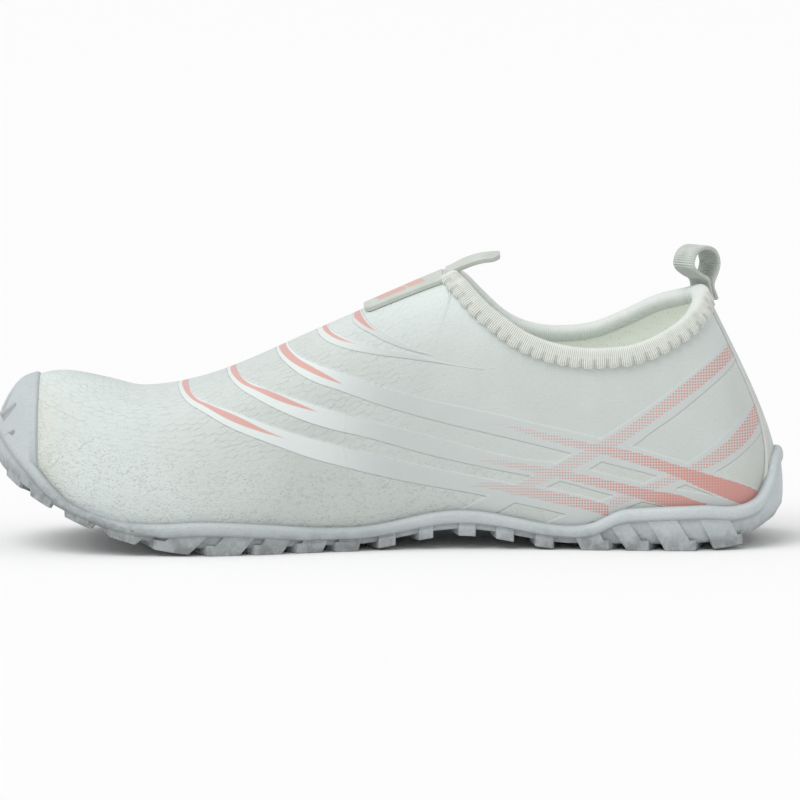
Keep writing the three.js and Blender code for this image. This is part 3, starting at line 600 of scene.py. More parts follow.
# Bands over the side: the upper and lower edges of each one's smooth film and of its pink
# parts, in front and to the rear, as places from the back of the heel and heights over the
# floor. The rear pink is dots, with the place and the cover where they begin and end.
bands = {
    "toe": {
        "film": (
            [
                (44, 10.5), (60, 15.5), (71, 18.5), (80, 20.4), (90, 21.6), (105, 24.4), (122, 28),
                (138, 32.2), (151, 36), (162, 39.2), (172, 42.5), (182, 46.2), (192, 49.3), (196, 51),
                (200, 56), (202, 61),
            ],
            [
                (44, 4), (60, 8), (80, 12.9), (92, 15.5), (105, 18.4), (119, 21), (133, 24.1),
                (146, 27.7), (158, 31.3), (168, 35.1), (176, 38.1), (184, 41.3), (193, 46),
                (199, 49.3), (202, 53), (205, 60),
            ],
        ),
        "front": (
            [
                (159, 35.1), (164, 37.6), (172, 41), (182, 45.7), (191, 49), (196, 51), (199.5, 56),
                (201, 61),
            ],
            [
                (159, 35.1), (167, 37.5), (176, 40.1), (184, 43), (192, 46.9), (198, 49.9),
                (201.5, 54), (203.5, 60),
            ],
        ),
        "rear": (
            [(60, 15), (65, 16.2), (76, 18.7), (89, 21), (102, 21.9), (106, 21)],
            [(60, 11), (68, 13.4), (76, 15), (89, 17.9), (102, 20.6), (106, 21)],
        ),
        "dots": ((106, 0.1), (40, 0.8)),
    },
    "ball": {
        "film": (
            [
                (12, 14), (28, 18.5), (47, 22), (66, 26.5), (77, 28.8), (90, 30.3), (102, 33),
                (115, 36.7), (132, 41.2), (151, 46.9), (165, 51.3), (174, 54.2), (180, 56.5),
                (184, 60), (187, 66),
            ],
            [
                (12, 7), (28, 11), (43, 14.7), (59, 18.2), (78, 23.1), (86, 24.3), (102, 27.4),
                (119, 31.4), (138, 37.1), (155, 41.7), (167, 46.3), (176, 50.6), (182, 53.9),
                (186, 57.7), (190, 65),
            ],
        ),
        "front": (
            [(152, 44.8), (155, 46.6), (163, 50.2), (171, 53.4), (179, 56), (183, 59.5), (186, 65)],
            [(152, 44.8), (159, 46.5), (167, 48.8), (176, 52.4), (182, 55), (186, 59), (188.5, 65)],
        ),
        "rear": (
            [
                (28, 15.5), (30, 16), (36, 18.2), (46, 20), (56, 22.3), (66, 24.5), (82, 27.5),
                (100, 29.6), (104, 29),
            ],
            [(28, 11), (43, 15.2), (46, 16), (56, 18.9), (66, 21.5), (82, 25), (100, 28.6), (104, 29)],
        ),
        "dots": ((104, 0.08), (30, 0.85)),
    },
    "arch": {
        "film": (
            [
                (10, 18.5), (24, 25.4), (34, 29), (43, 31.7), (51, 34.2), (65, 37.7), (82, 41.4),
                (102, 45.9), (119, 49.5), (133, 53.6), (148, 58.8), (157, 61.8), (163, 64.5),
                (167, 68), (170, 74),
            ],
            [
                (10, 12), (20, 15.7), (34, 21.5), (44, 24.6), (62, 29.2), (72, 31.8), (82, 34.3),
                (102, 39), (112, 41.4), (132, 47.1), (148, 52.8), (158, 56.3), (165, 60.4), (170, 65),
                (173, 73),
            ],
        ),
        "front": (
            [(144, 53.5), (146, 54.8), (151, 57.8), (157, 60.9), (163, 64), (167.5, 68), (170, 74)],
            [(144, 53.5), (151, 55.5), (159, 58.6), (166, 62.2), (170, 66), (172.5, 73)],
        ),
        "rear": (
            [
                (10, 18.2), (13, 20), (28, 25.4), (40, 29.2), (46, 31.2), (56, 33.7), (65, 35.3),
                (82, 39), (94, 41.4), (98, 41.4),
            ],
            [
                (10, 12), (18, 15.6), (28, 20), (40, 25.4), (46, 27.4), (56, 30.3), (71, 34),
                (82, 36.8), (94, 40.7), (98, 41.4),
            ],
        ),
        "dots": ((98, 0.08), (14, 1.0)),
    },
    "instep": {
        "film": (
            [
                (101, 59.4), (119, 62.8), (123, 64.2), (132, 65.8), (140, 67.9), (148, 70.2),
                (152, 72), (155, 76), (157, 82),
            ],
            [
                (101, 59.3), (125, 62.8), (138, 64.5), (149, 66.8), (154, 68.8), (157, 71.5),
                (160, 77), (161, 82),
            ],
        ),
        "front": (
            [(139, 66.8), (142, 67.9), (148, 69.9), (152, 72), (154.5, 76), (156, 82)],
            [(139, 66.8), (145, 67.3), (152, 69.3), (155, 71.5), (157.5, 76), (159, 82)],
        ),
    },
    "throat": {
        "film": (
            [(101, 59.6), (119, 64.4), (130, 69.2), (138, 73.8), (141, 77), (144, 83)],
            [
                (101, 59.4), (110, 62), (119, 64.2), (123, 65), (132, 67.9), (138, 70.7), (143, 73.2),
                (146, 76), (148.5, 82),
            ],
        ),
        "front": (
            [(131, 69.3), (134, 71), (138, 73.4), (141.5, 77), (144, 83)],
            [(131, 69.3), (136, 70.8), (141, 72.9), (145, 76), (147.5, 82)],
        ),
    },
    "heelUpper": {
        "film": (
            [
                (14, 72), (23, 64.6), (33, 57.6), (43, 50.1), (52, 43.9), (61, 38), (65, 35.7),
                (72, 31.8), (77, 28.8), (86, 23.7), (98, 18.2), (112, 11),
            ],
            [
                (8, 67.5), (19, 58.7), (30, 50.4), (38, 44.4), (46, 38.9), (51, 35), (56, 32.2),
                (62, 29.2), (66, 26.8), (78, 21.5), (89, 16), (98, 11), (112, 5),
            ],
        ),
        "rear": (
            [
                (14, 70.5), (22, 64), (33, 56.3), (43, 48.8), (52, 42.2), (61, 36.7), (68, 33),
                (76, 28.6), (82, 25.7), (92, 21),
            ],
            [
                (8, 69), (20, 60.4), (30, 53.2), (38, 47.7), (46, 42.2), (56, 35.3), (63, 31.2),
                (72, 26.5), (79, 23.1), (92, 17.5),
            ],
        ),
        "dots": ((92, 0.1), (8, 0.5)),
    },
    "heelLower": {
        "film": (
            [
                (4, 58), (13, 46), (16, 42.7), (21, 38), (28, 32.7), (34, 29), (44, 24.4), (50, 21.4),
                (59, 17.7), (70, 13), (86, 6),
            ],
            [
                (0, 45), (10, 35.4), (17, 30.1), (24, 26), (28, 24.4), (34, 22), (40, 19.4),
                (49, 15.8), (58, 12), (70, 7), (86, 1),
            ],
        ),
        "rear": (
            [
                (4, 55), (12, 44.6), (16, 40.2), (21, 35.4), (30, 29.7), (36, 26.5), (44, 23),
                (51, 20), (59, 16.4),
            ],
            [
                (0, 49), (10, 39), (13, 35.6), (21, 30.3), (28, 26.9), (36, 23.6), (43, 20.7),
                (49, 18), (59, 13.6),
            ],
        ),
        "dots": ((66, 0.12), (0, 0.5)),
    },
}
halftonePitch = 0.93  # of the dots

# Small creases of the knit, listed one by one: both ends as place and height, half width, and depth
creases = [
    ((230.4, 40), (229.4, 37.4), 0.8, 0.5),
    ((229.4, 37.4), (232.4, 36.2), 0.8, 0.7),
    ((232.4, 36.2), (233.4, 34.9), 0.8, 0.6),
    ((240.6, 31.3), (243, 28.6), 0.8, 0.6),
    ((241.5, 33.4), (246, 32), 0.7, 0.4),
    ((146.4, 46), (147.2, 34), 0.9, 0.35),
    ((147.2, 34), (145.8, 25), 0.9, 0.3),
    ((113.6, 89.5), (112.6, 83), 0.7, 0.5),
]

# Sizes of the knit's embossed scales, its pores and its finer and broader changes
emboss = {
    "width": 4.0,
    "height": 2.5,
    "poreTop": 26,
    "pore": (0.95, 0.7),
    "mesh": 1.6,
    "grain": 0.45,
    "weave": 0.55,
    "drift": 3.2,
    "fade": 5,
    "cloud": 20,
}
bandFade = 0.3  # how far a band's ends fade out


# Height of a band's edge over the floor at a place from the heel, as one curve node
def bandEdge(shader, place, points):
    span = form["length"]
    curve = [(x / span, z / span) for x, z in points]
    value = {"Factor": 1.0, "Value": place / span}
    return shader.node("ShaderNodeFloatCurve", {"points": curve}, value) * span


# How far a place is inside a band, over its lower edge, under its upper edge, and from its ends
def insideBand(shader, place, height, edges):
    upper, lower = edges
    rise = height - bandEdge(shader, place, lower)
    drop = bandEdge(shader, place, upper) - height
    start = max(upper[0][0], lower[0][0]) - bandFade
    end = min(upper[-1][0], lower[-1][0]) + bandFade
    span = (place - start).least(end - place)
    return rise.least(drop).least(span), rise, drop, span


def union(mask, other):
    return other if mask is None else mask.most(other)


# Films and printed marks of the side, as masks over the surface, with a painted shadow line along each
# film's lower edge and a painted highlight along its upper edge
def bandMasks(shader, place, height):
    film = inner = lowEdgeShadow = highEdgeHighlight = solid = cover = None
    for band in bands.values():
        depth, rise, drop, span = insideBand(shader, place, height, band["film"])
        film = union(film, depth.step(-0.1, 0.22))
        inner = union(inner, depth.step(0.35, 0.7))
        near = span.step(0, 0.5)
        lowEdgeShadow = union(lowEdgeShadow, near * drop.step(0, 0.3) * (1 - abs(rise).step(0.08, 0.34)))
        highEdgeHighlight = union(highEdgeHighlight, near * rise.step(0, 0.3) * (1 - abs(drop).step(0.1, 0.5)))
        if "front" in band:
            solid = union(solid, insideBand(shader, place, height, band["front"])[0].step(0.45, 0.8))
        if "rear" in band:
            dotted = insideBand(shader, place, height, band["rear"])[0].step(-0.25, 0.25)
            (start, low), (end, high) = band["dots"]
            share = ((place - start) / (end - start)).most(0).least(1)
            cover = union(cover, dotted * (low + (share * 0.35 + share**4 * 0.65) * (high - low)))
    edge = 1 - inner
    return film, lowEdgeShadow * edge, highEdgeHighlight * edge, solid, cover


# Round dots on a square grid, that grow and close up with the cover
def halftone(place, height, cover):
    across = (place / halftonePitch).math("FRACT") - 0.5
    upward = (height / halftonePitch).math("FRACT") - 0.5
    wave = (across * across + upward * upward) * 2
    return (cover - wave).step(-0.07, 0.07) * cover.step(0.01, 0.05)


# How much of a crease there is at a place of the side
def creaseMask(place, height):
    marks = None
    for (startPlace, startHeight), (endPlace, endHeight), half, depth in creases:
        run, climb = endPlace - startPlace, endHeight - startHeight
        length = math.hypot(run, climb)
        across, upward = place - startPlace, height - startHeight
        along = (across * run + upward * climb) / length
        beside = abs(across * climb - upward * run) / length
        past = (along - length).most(along * -1).most(0)
        mark = (1 - (beside + past * 0.6).step(0, half)) * depth
        marks = union(marks, mark)
    return marks


def knitMaterial():
    shader = Shader("paleKnit", colors["knit"], 0.8, Sheen_Weight=0.2)
    place, height = shader.onShoe()[1:]
    film, lowEdgeShadow, highEdgeHighlight, solid, cover = bandMasks(shader, place, height)
    printed = solid.most(halftone(place, height, cover))
    pattern, across, down = shader.pattern()
    grain = shader.noise(pattern, emboss["grain"], 3.0, 0.6)
    cloud = shader.noise(pattern, emboss["cloud"], 2.0)
    drift = shader.noise(pattern, emboss["drift"], 1.0)
    fade = shader.noise(pattern, emboss["fade"], 1.0)
    weave = shader.noise(shader.join(across * 0.4 * mm, down * mm), emboss["weave"], 3.0, 0.6)
    crease = creaseMask(place, height)
    cloth = 1 - film

    # Embossed scales in staggered rows that run along the shoe
    row = down / emboss["height"] + (drift - 0.5) * 0.7 + (cloud - 0.5) * 3
    step = row.math("FLOOR")
    turn = across / emboss["width"] + step * 0.5 + fade - 0.5
    side = abs(turn.math("FRACT") - 0.5) * 2
    arc = 0.62 - side * side * 0.42
    line = 1 - abs(row - step - arc).step(0.02, 0.26)
    upright = (1 - (1 - side).step(0.02, 0.2)) * (1 - (row - step - 0.45).step(0, 0.2)) * 0.5
    scales = line.most(upright) * (0.35 + 0.65 * fade.step(0.35, 0.6))

    # Pores, most of them near the sole, and scales only over the front
    low = 1 - (height - emboss["poreTop"] - (place - 190).most(0) * 0.22).step(-3, 9)
    poreWidth, poreHeight = emboss["pore"]
    pits = 1 - shader.cells(across / poreWidth, down / poreHeight).step(0.08, 0.5)
    pores = pits * (0.35 + 0.65 * low) * (0.35 + 0.65 * place.step(40, 120))
    pores = pores * (0.55 + 0.45 * fade.step(0.3, 0.62)) * cloth
    relief = scales * place.step(95, 150) * (1 - low * 0.55) * cloth

    # Painted top light: the knit brighter toward the toe and up the side
    toeAndTopLight = place.step(150, 235) * 0.6 + (height - 40).step(0, 50) * 0.4
    toeTint = place.step(232, 250) * height.step(14, 26) * (1 - height.step(44, 58))
    sideTint = (1 - height.step(20, 34)) * (1 - place.step(40, 100)) * 0.5
    coat = shader.blend(place.step(130, 160), colors["film"], colors["filmBright"])
    tint = shader.blend(place.step(100, 160) * 0.6, colors["pink"], colors["pinkPale"])
    shader.paint("knit", [
        # painted top light, brighter toward the toe, up the side and over the ridge
        (toeAndTopLight * 0.75, "knitBright"),
        (height.step(62, 90) * 0.45, "knitBright"),
        (cloud.step(0.4, 0.7) * 0.12, "knitBright"),
        # painted shade in the embossed grooves and in the creases
        (relief * 0.1 + crease * 0.12, "knitDeep"),
        # painted shade in the pores, deeper near the sole
        (pores * (0.22 + low * 0.3), "knitDeep"),
        (weave.step(0.5, 0.75) * cloth * 0.14, "knitDeep"),
        (grain.step(0.52, 0.72) * cloth * 0.16, "knitDeep"),
        (toeTint * 0.3 + sideTint * 0.25, "tan"),
        (film * 0.8, coat),
        # painted shadow along the films' lower edges and painted highlight along their upper edges
        (lowEdgeShadow * 0.42, "knitDeep"),
        (highEdgeHighlight * 0.45, "filmBright"),
        (printed * (0.8 + grain * 0.12), tint),
    ])
    shader.feed("Roughness", 0.82 - film * 0.22 + grain * 0.05)
    tall = film * 0.34 - relief * 0.17 - pores * 0.15 + grain * (0.05 + 0.07 * cloth) + cloud * 0.5
    shader.bump(tall + weave * 0.14 * cloth + crease * 0.35 + drift * 0.1, 1.0, 0.9)
    return shader.material


# Pale mesh of the inside, with a faint glow for the light that comes through the thin knit
def liningMaterial():
    glow = (0.9, 0.95, 0.86, 1)
    shader = Shader("meshLining", colors["lining"], 0.85, Emission_Color=glow, Emission_Strength=0.12)
    pattern, across, down = shader.pattern()
    grain = shader.noise(pattern, 0.6, 3.0, 0.6)
    hole = 1 - shader.cells(across / emboss["mesh"], down / emboss["mesh"], 0.35).step(0.12, 0.24)
    # painted shade in the mesh's holes
    shader.paint("lining", [(hole * 0.35, "knitDeep")])
    shader.bump(grain * 0.15 - hole * 0.2, 0.6, 0.7)
    return shader.material


def rubberMaterial():
    shader = Shader("moldedRubber", colors["rubber"], 0.48, Coat_Weight=0.08, Coat_Roughness=0.4)
    position, place, height = shader.onShoe()
    fine = shader.noise(position, 0.9, 3.0, 0.6)
    cloud = shader.noise(position, 14, 3.0)
    mottle = shader.noise(position, 4, 4.0, 0.65)
    shade = shader.pattern()[2]  # 1 in the cup's recess and seam and in the toe cap's grooves
    heelward = 1 - place.step(21.4, 111.4)
    # Painted shade, darker toward the tread and mottled by noise
    treadShade = (1 - (height - treadLift(place)).step(1, 10)) * 0.9
    shader.paint("rubber", [
        (cloud.step(0.4, 0.7) * 0.25 + heelward * 0.6, "rubberBright"),
        ((treadShade * (0.45 + 0.55 * mottle.step(0.35, 0.65))).least(1), "rubberDeep"),
        (fine.step(0.5, 0.75) * 0.12, "rubberDeep"),
        (shade.most(0).least(1) * 0.5, "rubberDeep"),
    ])
    shader.feed("Roughness", 0.45 + 0.2 * mottle)
    shader.bump(fine * 0.55 + cloud * 0.5, 0.7, 0.9)
    return shader.material


# Height of the tread over the floor at the toe and the heel, for the shaders
def treadLift(place):
    toe = (1 - (form["length"] - place) / form["toeSpringRun"]).most(0)
    heel = (1 - place / form["heelBevelRun"]).most(0)
    return toe * toe * form["toeSpring"] + heel * heel * form["heelBevel"]


def elasticMaterial():
    shader = Shader("ribbedElastic", colors["elastic"], 0.75, Sheen_Weight=0.3)
    pattern, along, up = shader.pattern()
    rib = shader.ribs(along, binding["ribPitch"])
    puff = shader.ribs(along, binding["tuft"])
    fuzz = shader.noise(pattern, 0.35, 3.0, 0.7)
    blotch = shader.noise(pattern, 5, 2.0)
    inner = up.step(binding["innerFace"] / 2, binding["innerFace"] / 2 + 1)
    face = (1 - up.step(0.4, 1.4)) * (1 - inner)
    low = 1 - up.step(-2.5, -1.5)
    groove = (1 - rib.step(0.1, 0.62)) * (0.32 + 0.4 * face)
    shade = (groove + fuzz * 0.15 - 0.06).most(0) * (0.7 + blotch * 0.6) * (1 - inner * 0.5)
    shade = shade + low * ((1 - puff.step(0.1, 0.7)) * 0.3 + fuzz.step(0.45, 0.7) * 0.25)
    shader.paint("elastic", [
        (shade.least(1), "elasticDeep"),
        # painted highlight over the rolled top, and painted light over the inner face
        (up.step(0.8, 2.2) * 0.6, "filmBright"),
    ])
    shader.bump(rib * 0.4 + fuzz * (0.2 + low * 0.4), 0.4, 0.7)
    return shader.material


def webbingMaterial():
    shader = Shader("ribbedWebbing", colors["webbing"], 0.7, Sheen_Weight=0.2)
    pattern, along, across = shader.pattern()
    rib = shader.ribs(along, loop["ribPitch"])
    shader.paint("webbing", [
        # painted shade in the grooves between the ribs
        ((1 - rib.step(0.05, 0.7)) * 0.45, "knitDeep"),
        (shader.noise(pattern, 6, 2.0).step(0.4, 0.7) * 0.3, "filmBright"),
    ])
    shader.bump(rib * 0.5 + shader.ribs(across, 0.9) * 0.12, 0.4, 0.6)
    return shader.material


# Smooth film of the trim, with or without the patch's slanted bars
def filmMaterial(name, marks=False):
    shader = Shader(name, colors["trim"], 0.5, Coat_Weight=0.1, Coat_Roughness=0.35)
    pattern, along, across = shader.pattern()
    fine = shader.noise(pattern, 0.8, 3.0, 0.6)
    cloud = shader.noise(pattern, 8, 2.0)
    layers = [(cloud.step(0.35, 0.7) * 0.25, "filmBright")]
    if marks:
        soft, half = patch["markSoft"], patch["markHalf"]
        slanted = along - across * patch["markLean"]
        bars = None
        for start, end in patch["marks"]:
            bar = slanted.step(start - soft, start + soft) * (1 - slanted.step(end - soft, end + soft))
            bars = union(bars, bar)
        bars = bars * (1 - abs(across).step(half - soft, half + soft))
        layers.append((bars * 0.85, "pinkPale"))
        shader.bump(fine * 0.1 + cloud * 0.2 + bars * 0.3, 0.6, 0.6)
    else:
        shader.bump(fine * 0.15 + cloud * 0.2, 0.5, 0.5)
    shader.paint("trim", layers)
    return shader.material


def stripMaterial():
    shader = Shader("heelFilm", colors["film"], 0.6, Coat_Weight=0.05, Coat_Roughness=0.4)
    pattern, up, out = shader.pattern()  # out is the distance in from the nearer edge
    fine = shader.noise(pattern, 0.5, 3.0, 0.6)
    cloud = shader.noise(pattern, 6, 2.0)
    hem = 1 - (out - strip["hem"]).step(-0.3, 0.2)
    inner, outer = (abs(out - row) - strip["thread"] for row in strip["stitchRows"])
    gapped = (up / strip["stitch"]).math("FRACT").step(0.15, 0.3)
    thread = (1 - inner.least(outer).step(-0.06, 0.12)) * gapped
    shader.paint("film", [
        (cloud.step(0.35, 0.7) * 0.4, "filmBright"),
        (hem * 0.3 * (1 - up.step(30, 60)), "tan"),
        (hem * 0.3, "filmBright"),
        (thread * 0.5, "tan"),
        # painted shade along the strip's edge, where it meets the knit
        ((1 - out.step(0.05, 0.35)) * 0.15, "knitDeep"),
    ])
    shader.bump(fine * 0.12 + cloud * 0.2 + hem * 0.1 - thread * 0.15, 0.7, 0.7)
    return shader.material


def foamMaterial():
    shader = Shader("footbedFoam", colors["foam"], 0.85, Sheen_Weight=0.1)
    grain = shader.noise(shader.onShoe()[0], 0.7, 3.0, 0.6)
    shader.bump(grain * 0.3, 0.4, 0.5)
    return shader.material


# Upper

knit = {"columns": 396, "rows": 96, "wall": 2.0, "patternAt": 0.45, "patternDrop": 84}


# The knit wall, and a tree of its outer face for what sits on it
def makeUpper():
    fine = np.linspace(0, loopKeys, knit["columns"] + 1)
    reach = reachUp(fine, overCollar)[0]
    section = Section(fine)
    run = runAlong(section.at(section.arc * knit["patternAt"]))

    # The pattern runs along the shoe alike on both sides, and down from the ridge
    def place(a, b):
        u = a * loopKeys
        up = np.interp(u, fine, reach) * b
        share = 1 - up / np.interp(u, fine, section.arc)
        across = np.interp(np.minimum(u, loopKeys - u), fine, run)
        return onForm(u, up), np.stack([across, share * knit["patternDrop"]], 1)

    piece = turnOutward(gridPiece("knitUpper", knit["columns"], knit["rows"], place))
    mesh = piece.data
    tree = BVHTree.FromPolygons([v.co for v in mesh.vertices], [p.vertices for p in mesh.polygons])
    for material in (knitMaterial(), liningMaterial()):
        mesh.materials.append(material)
    solidify(piece, knit["wall"])
    piece.modifiers["wall"].material_offset = 1
    return piece, tree


# Collar binding

binding = {
    "outside": 4.7,
    "inside": 3.0,
    "top": 1.8,
    "thick": 1.75,
    "columns": 1920,
    "ribPitch": 0.64,
    "ribDepth": 0.2,
    "tuft": 4.0,
    "tuftDepth": 0.45,
    "wander": [(0.22, 23, 0), (0.16, 61, 1)],  # stray of the ribs: share of a rib, turns, phase
    "innerFace": 20,  # added to the pattern's height on the inner face
    "soften": 2.5,
}


# The collar's edge as one closed loop of points, with the form's normals
def collarLoop(count):
    spread = np.linspace(-lastSection, lastSection, 2400)
    reach, crosses = reachUp(spread % loopKeys, overCollar)
    u = spread[crosses]
    points = onForm(u % loopKeys, reach[crosses])
    normals = formNormal(Section(u % loopKeys), reach[crosses])
    ring = np.concatenate([points, points[:1]])
    run = runAlong(ring)
    at = np.linspace(0, run[-1], count, endpoint=False)
    closed = [np.concatenate([field, field[:1]]) for field in (points, normals)]
    line, facing = (np.stack([np.interp(at, run, field[:, i]) for i in range(3)], 1) for field in closed)
    width = max(1, int(binding["soften"] / (run[-1] / count)))
    kernel = np.ones(2 * width + 1) / (2 * width + 1)

    def soften(field):
        padded = np.concatenate([field[-width:], field, field[:width]])
        return np.stack([np.convolve(padded[:, i], kernel, "valid") for i in range(3)], 1)

    line = soften(line)
    facing = unit(soften(facing))
    tangent = unit(np.roll(line, -1, axis=0) - np.roll(line, 1, axis=0))
    rise = np.cross(facing, tangent)
    if rise[:, 2].mean() < 0:
        rise = -rise
    return line, facing, unit(rise), run[-1]


def makeBinding():
    size = binding
    line, facing, rise, length = collarLoop(size["columns"])
    ribs, tufts = round(length / size["ribPitch"]), round(length / size["tuft"])
    out, inner = size["thick"] + gap, -knit["wall"] - size["thick"] - gap
    # round the fold from its outer foot: outward, upward, and how much the ribs show
    profile = [
        (0.1, -size["outside"], 0.2),
        (1.0, -size["outside"] - 0.1, 0.6),
        (out - 0.2, -size["outside"] + 0.5, 1),
        (out, -3.2, 1),
        (out + 0.1, -2.0, 1),
        (out, -0.8, 1),
        (out + 0.05, 0.1, 0.9),
        (out - 0.35, 1.0, 0.6),
        (out - 1.1, 1.65, 0.25),
        (-0.4, size["top"] + 0.1, 0.05),
        (-1.6, size["top"] + 0.1, 0.05),
        (inner + 1.1, 1.5, 0.3),
        (inner + 0.35, 0.8, 0.6),
        (inner, -0.2, 0.8),
        (inner, -1.5, 0.8),
        (inner + 0.3, -size["inside"] + 0.4, 0.5),
        (inner + 1.2, -size["inside"], 0.2),
        (-1.2, -size["inside"] + 0.2, 0),
    ]
    shape, shown = np.split(np.array(profile), [2], axis=1)
    count = len(shape)
    turn = np.roll(shape, -1, 0) - np.roll(shape, 1, 0)
    normal = unit(np.stack([-turn[:, 1], turn[:, 0]], 1))
    normal *= np.sign(((shape - shape.mean(0)) * normal).sum(1))[:, None]

    def place(a, b):
        i = np.rint(a * size["columns"]).astype(int) % size["columns"]
        j = np.rint(b * count).astype(int) % count
        along = a * length
        wander = sum(part * np.sin(2 * math.pi * a * turns + at) for part, turns, at in size["wander"])
        rib = np.abs(np.sin(math.pi * (a * ribs + wander))) - 0.6
        tuft = np.abs(np.sin(math.pi * (a * tufts + 0.3 * wander)))
        outward, upward = shape[j].T
        low = smooth((-1.6 - upward) / 1.6) * (outward > 0)
        waist = np.exp(-(((upward + 1.9) / 0.7) ** 2)) * (outward > 0)
        lift = size["ribDepth"] * rib * (1 - 0.35 * low) + low * size["tuftDepth"] * (tuft - 0.55)
        flat = shape[j] + normal[j] * shown[j] * (lift - waist * 0.2)[:, None]
        flat[:, 1] -= low * size["tuftDepth"] * 1.3 * (tuft - 0.5)
        points = line[i] + facing[i] * flat[:, :1] + rise[i] * flat[:, 1:]
        return points, np.stack([along, upward + size["innerFace"] * (outward < -1)], 1)

    return gridPiece("collarBinding", size["columns"], count, place, closed=True, weld=0.005)


# Rubber sole

# Of the cup's rows, those under bottomPart run out from the tread's middle, and those over
# profilePart run back in to the middle of the foot bed.
cup = {
    "columns": 440,
    "rows": 70,
    "bottomPart": 0.2,
    "profilePart": 0.8,
    "recessOver": 0.3,  # painted shade line under the bead: its middle over the side wall, and its width
    "recessWidth": 1.1,
    "recessEnd": 0.6,  # shares of the profile at which it ends and the painted shade of the seam with the knit starts
    "seamFrom": 0.74,
}


# Height of the sole's rim over the foot bed
def rimCover(section):
    return readTable(rim, section.along, "cover") * sole["rimHeight"]


# Height of the rim's bead, which is less where the rim is low
def beadRise(cover):
    return np.minimum(sole["beadHeight"], sole["base"] + cover - gap)


def makeSoleCup():
    def place(a, b):
        u = a * loopKeys
        section = Section(u)
        cover = rimCover(section)
        radius = readTable(rim, section.along, "corner") * sole["cornerRadius"]
        bend = radius * (1 - math.sqrt(0.5))
        base, side, rimTop = sole["base"], sole["sideDepth"], sole["rimTop"]
        bead, height = section.bead, beadRise(cover)
        sideLow = -base + np.minimum(radius, 0.4 * (base + cover - 0.85 * height))
        sideHigh = np.maximum(cover - 1.02 * height, sideLow + 0.12)
        # outward and upward places of the profile, from the edge of the tread to the inside
        rows = [
            (side - radius, -base),
            (side - bend, mix(-base, sideLow, 0.3)),
            (side, sideLow),
            (side, mix(sideLow, sideHigh, 0.6)),
            (side + 0.1, sideHigh),
            (mix(side, bead, 0.45), cover - 0.93 * height),
            (mix(side, bead, 0.86), cover - 0.8 * height),
            (bead, cover - 0.55 * height),
            (bead - 0.05, cover - 0.38 * height),
            (mix(rimTop, bead, 0.85), cover - 0.2 * height),
            (mix(rimTop, bead, 0.5), cover - 0.07 * height),
            (rimTop - 0.3, cover),
            (0.7, cover - 0.1),
            (0, cover - 0.7),
            (-gap, cover / 2),
        ]
        out, up = (np.array([row[k] + 0 * u for row in rows]) for k in (0, 1))
        bottomPart, profilePart = cup["bottomPart"], cup["profilePart"]
        t = np.clip((b - bottomPart) / (profilePart - bottomPart), 0, 1)
        column = np.arange(len(u))
        i = np.clip((t * (len(rows) - 1)).astype(int), 0, len(rows) - 2)
        f = t * (len(rows) - 1) - i
        outward = mix(out[i, column], out[i + 1, column], f)
        upward = mix(up[i, column], up[i + 1, column], f)
        points = onForm(u, upward, outward)

        spine = stack(around(u, "spineX")[0], around(u, "spineY")[0], 0)
        edge = section.foot + section.out * (side - radius)[:, None]
        bottom = mix(spine, edge, np.clip(b / bottomPart, 0, 1)[:, None])
        bottom[:, 2] = under(bottom[:, 0]) + sole["lugDepth"]
        inward = np.clip((b - profilePart) / (1 - profilePart), 0, 1)
        bed = mix(section.foot - section.out * gap, spine, inward[:, None])
        bed[:, 2] = under(bed[:, 0]) + form["soleFloor"] - gap
        rounding = 1e-6
        points = np.where((b < bottomPart - rounding)[:, None], bottom, points)
        points = np.where((b > profilePart + rounding)[:, None], bed, points)

        # Painted shade in the recess under the bead and along the seam with the knit, for the rubber's
        # shader
        over = (upward - sideHigh - cup["recessOver"]) / cup["recessWidth"]
        recess = np.exp(-(over**2)) * (t < cup["recessEnd"])
        seam = smooth((t - cup["seamFrom"]) / 0.1)
        return points, np.stack([points[:, 0], np.maximum(recess, seam)], 1)

    return turnOutward(gridPiece("soleCup", cup["columns"], cup["rows"], place, closed=True, weld=0.02))


toeCap = {
    "thick": 2.0,
    "columns": 360,
    "rows": 100,
    "blend": 8,
    "roll": 1.3,
    "rollFrom": 0.9,  # share of the rows at which the rear edge starts to roll in
    "rollTo": 0.98,
    "rear": 1.1,  # thickness at the rear edge
    "fade": 6,
    # rear edge in the side view: height, and distance from the tip
    "edge": [
        (0, 60), (12, 44), (14, 36), (17, 27), (21, 19.5), (25, 15.8), (30, 14.6), (60, 14.2), (90, 14.2),
    ],
    # grooves in the side view: distance from the tip and height of both ends
    "grooves": [
        ((3.2, 44.8), (6.7, 50.5)),
        ((2.4, 40), (7.8, 46.2)),
        ((3, 32.8), (8.1, 38.2)),
        ((6.6, 26), (10, 30.1)),
    ],
    "grooveWidth": 2.6,
    "grooveTaper": 0.35,
    "grooveDepth": 1.2,
    "skin": 0.5,
}


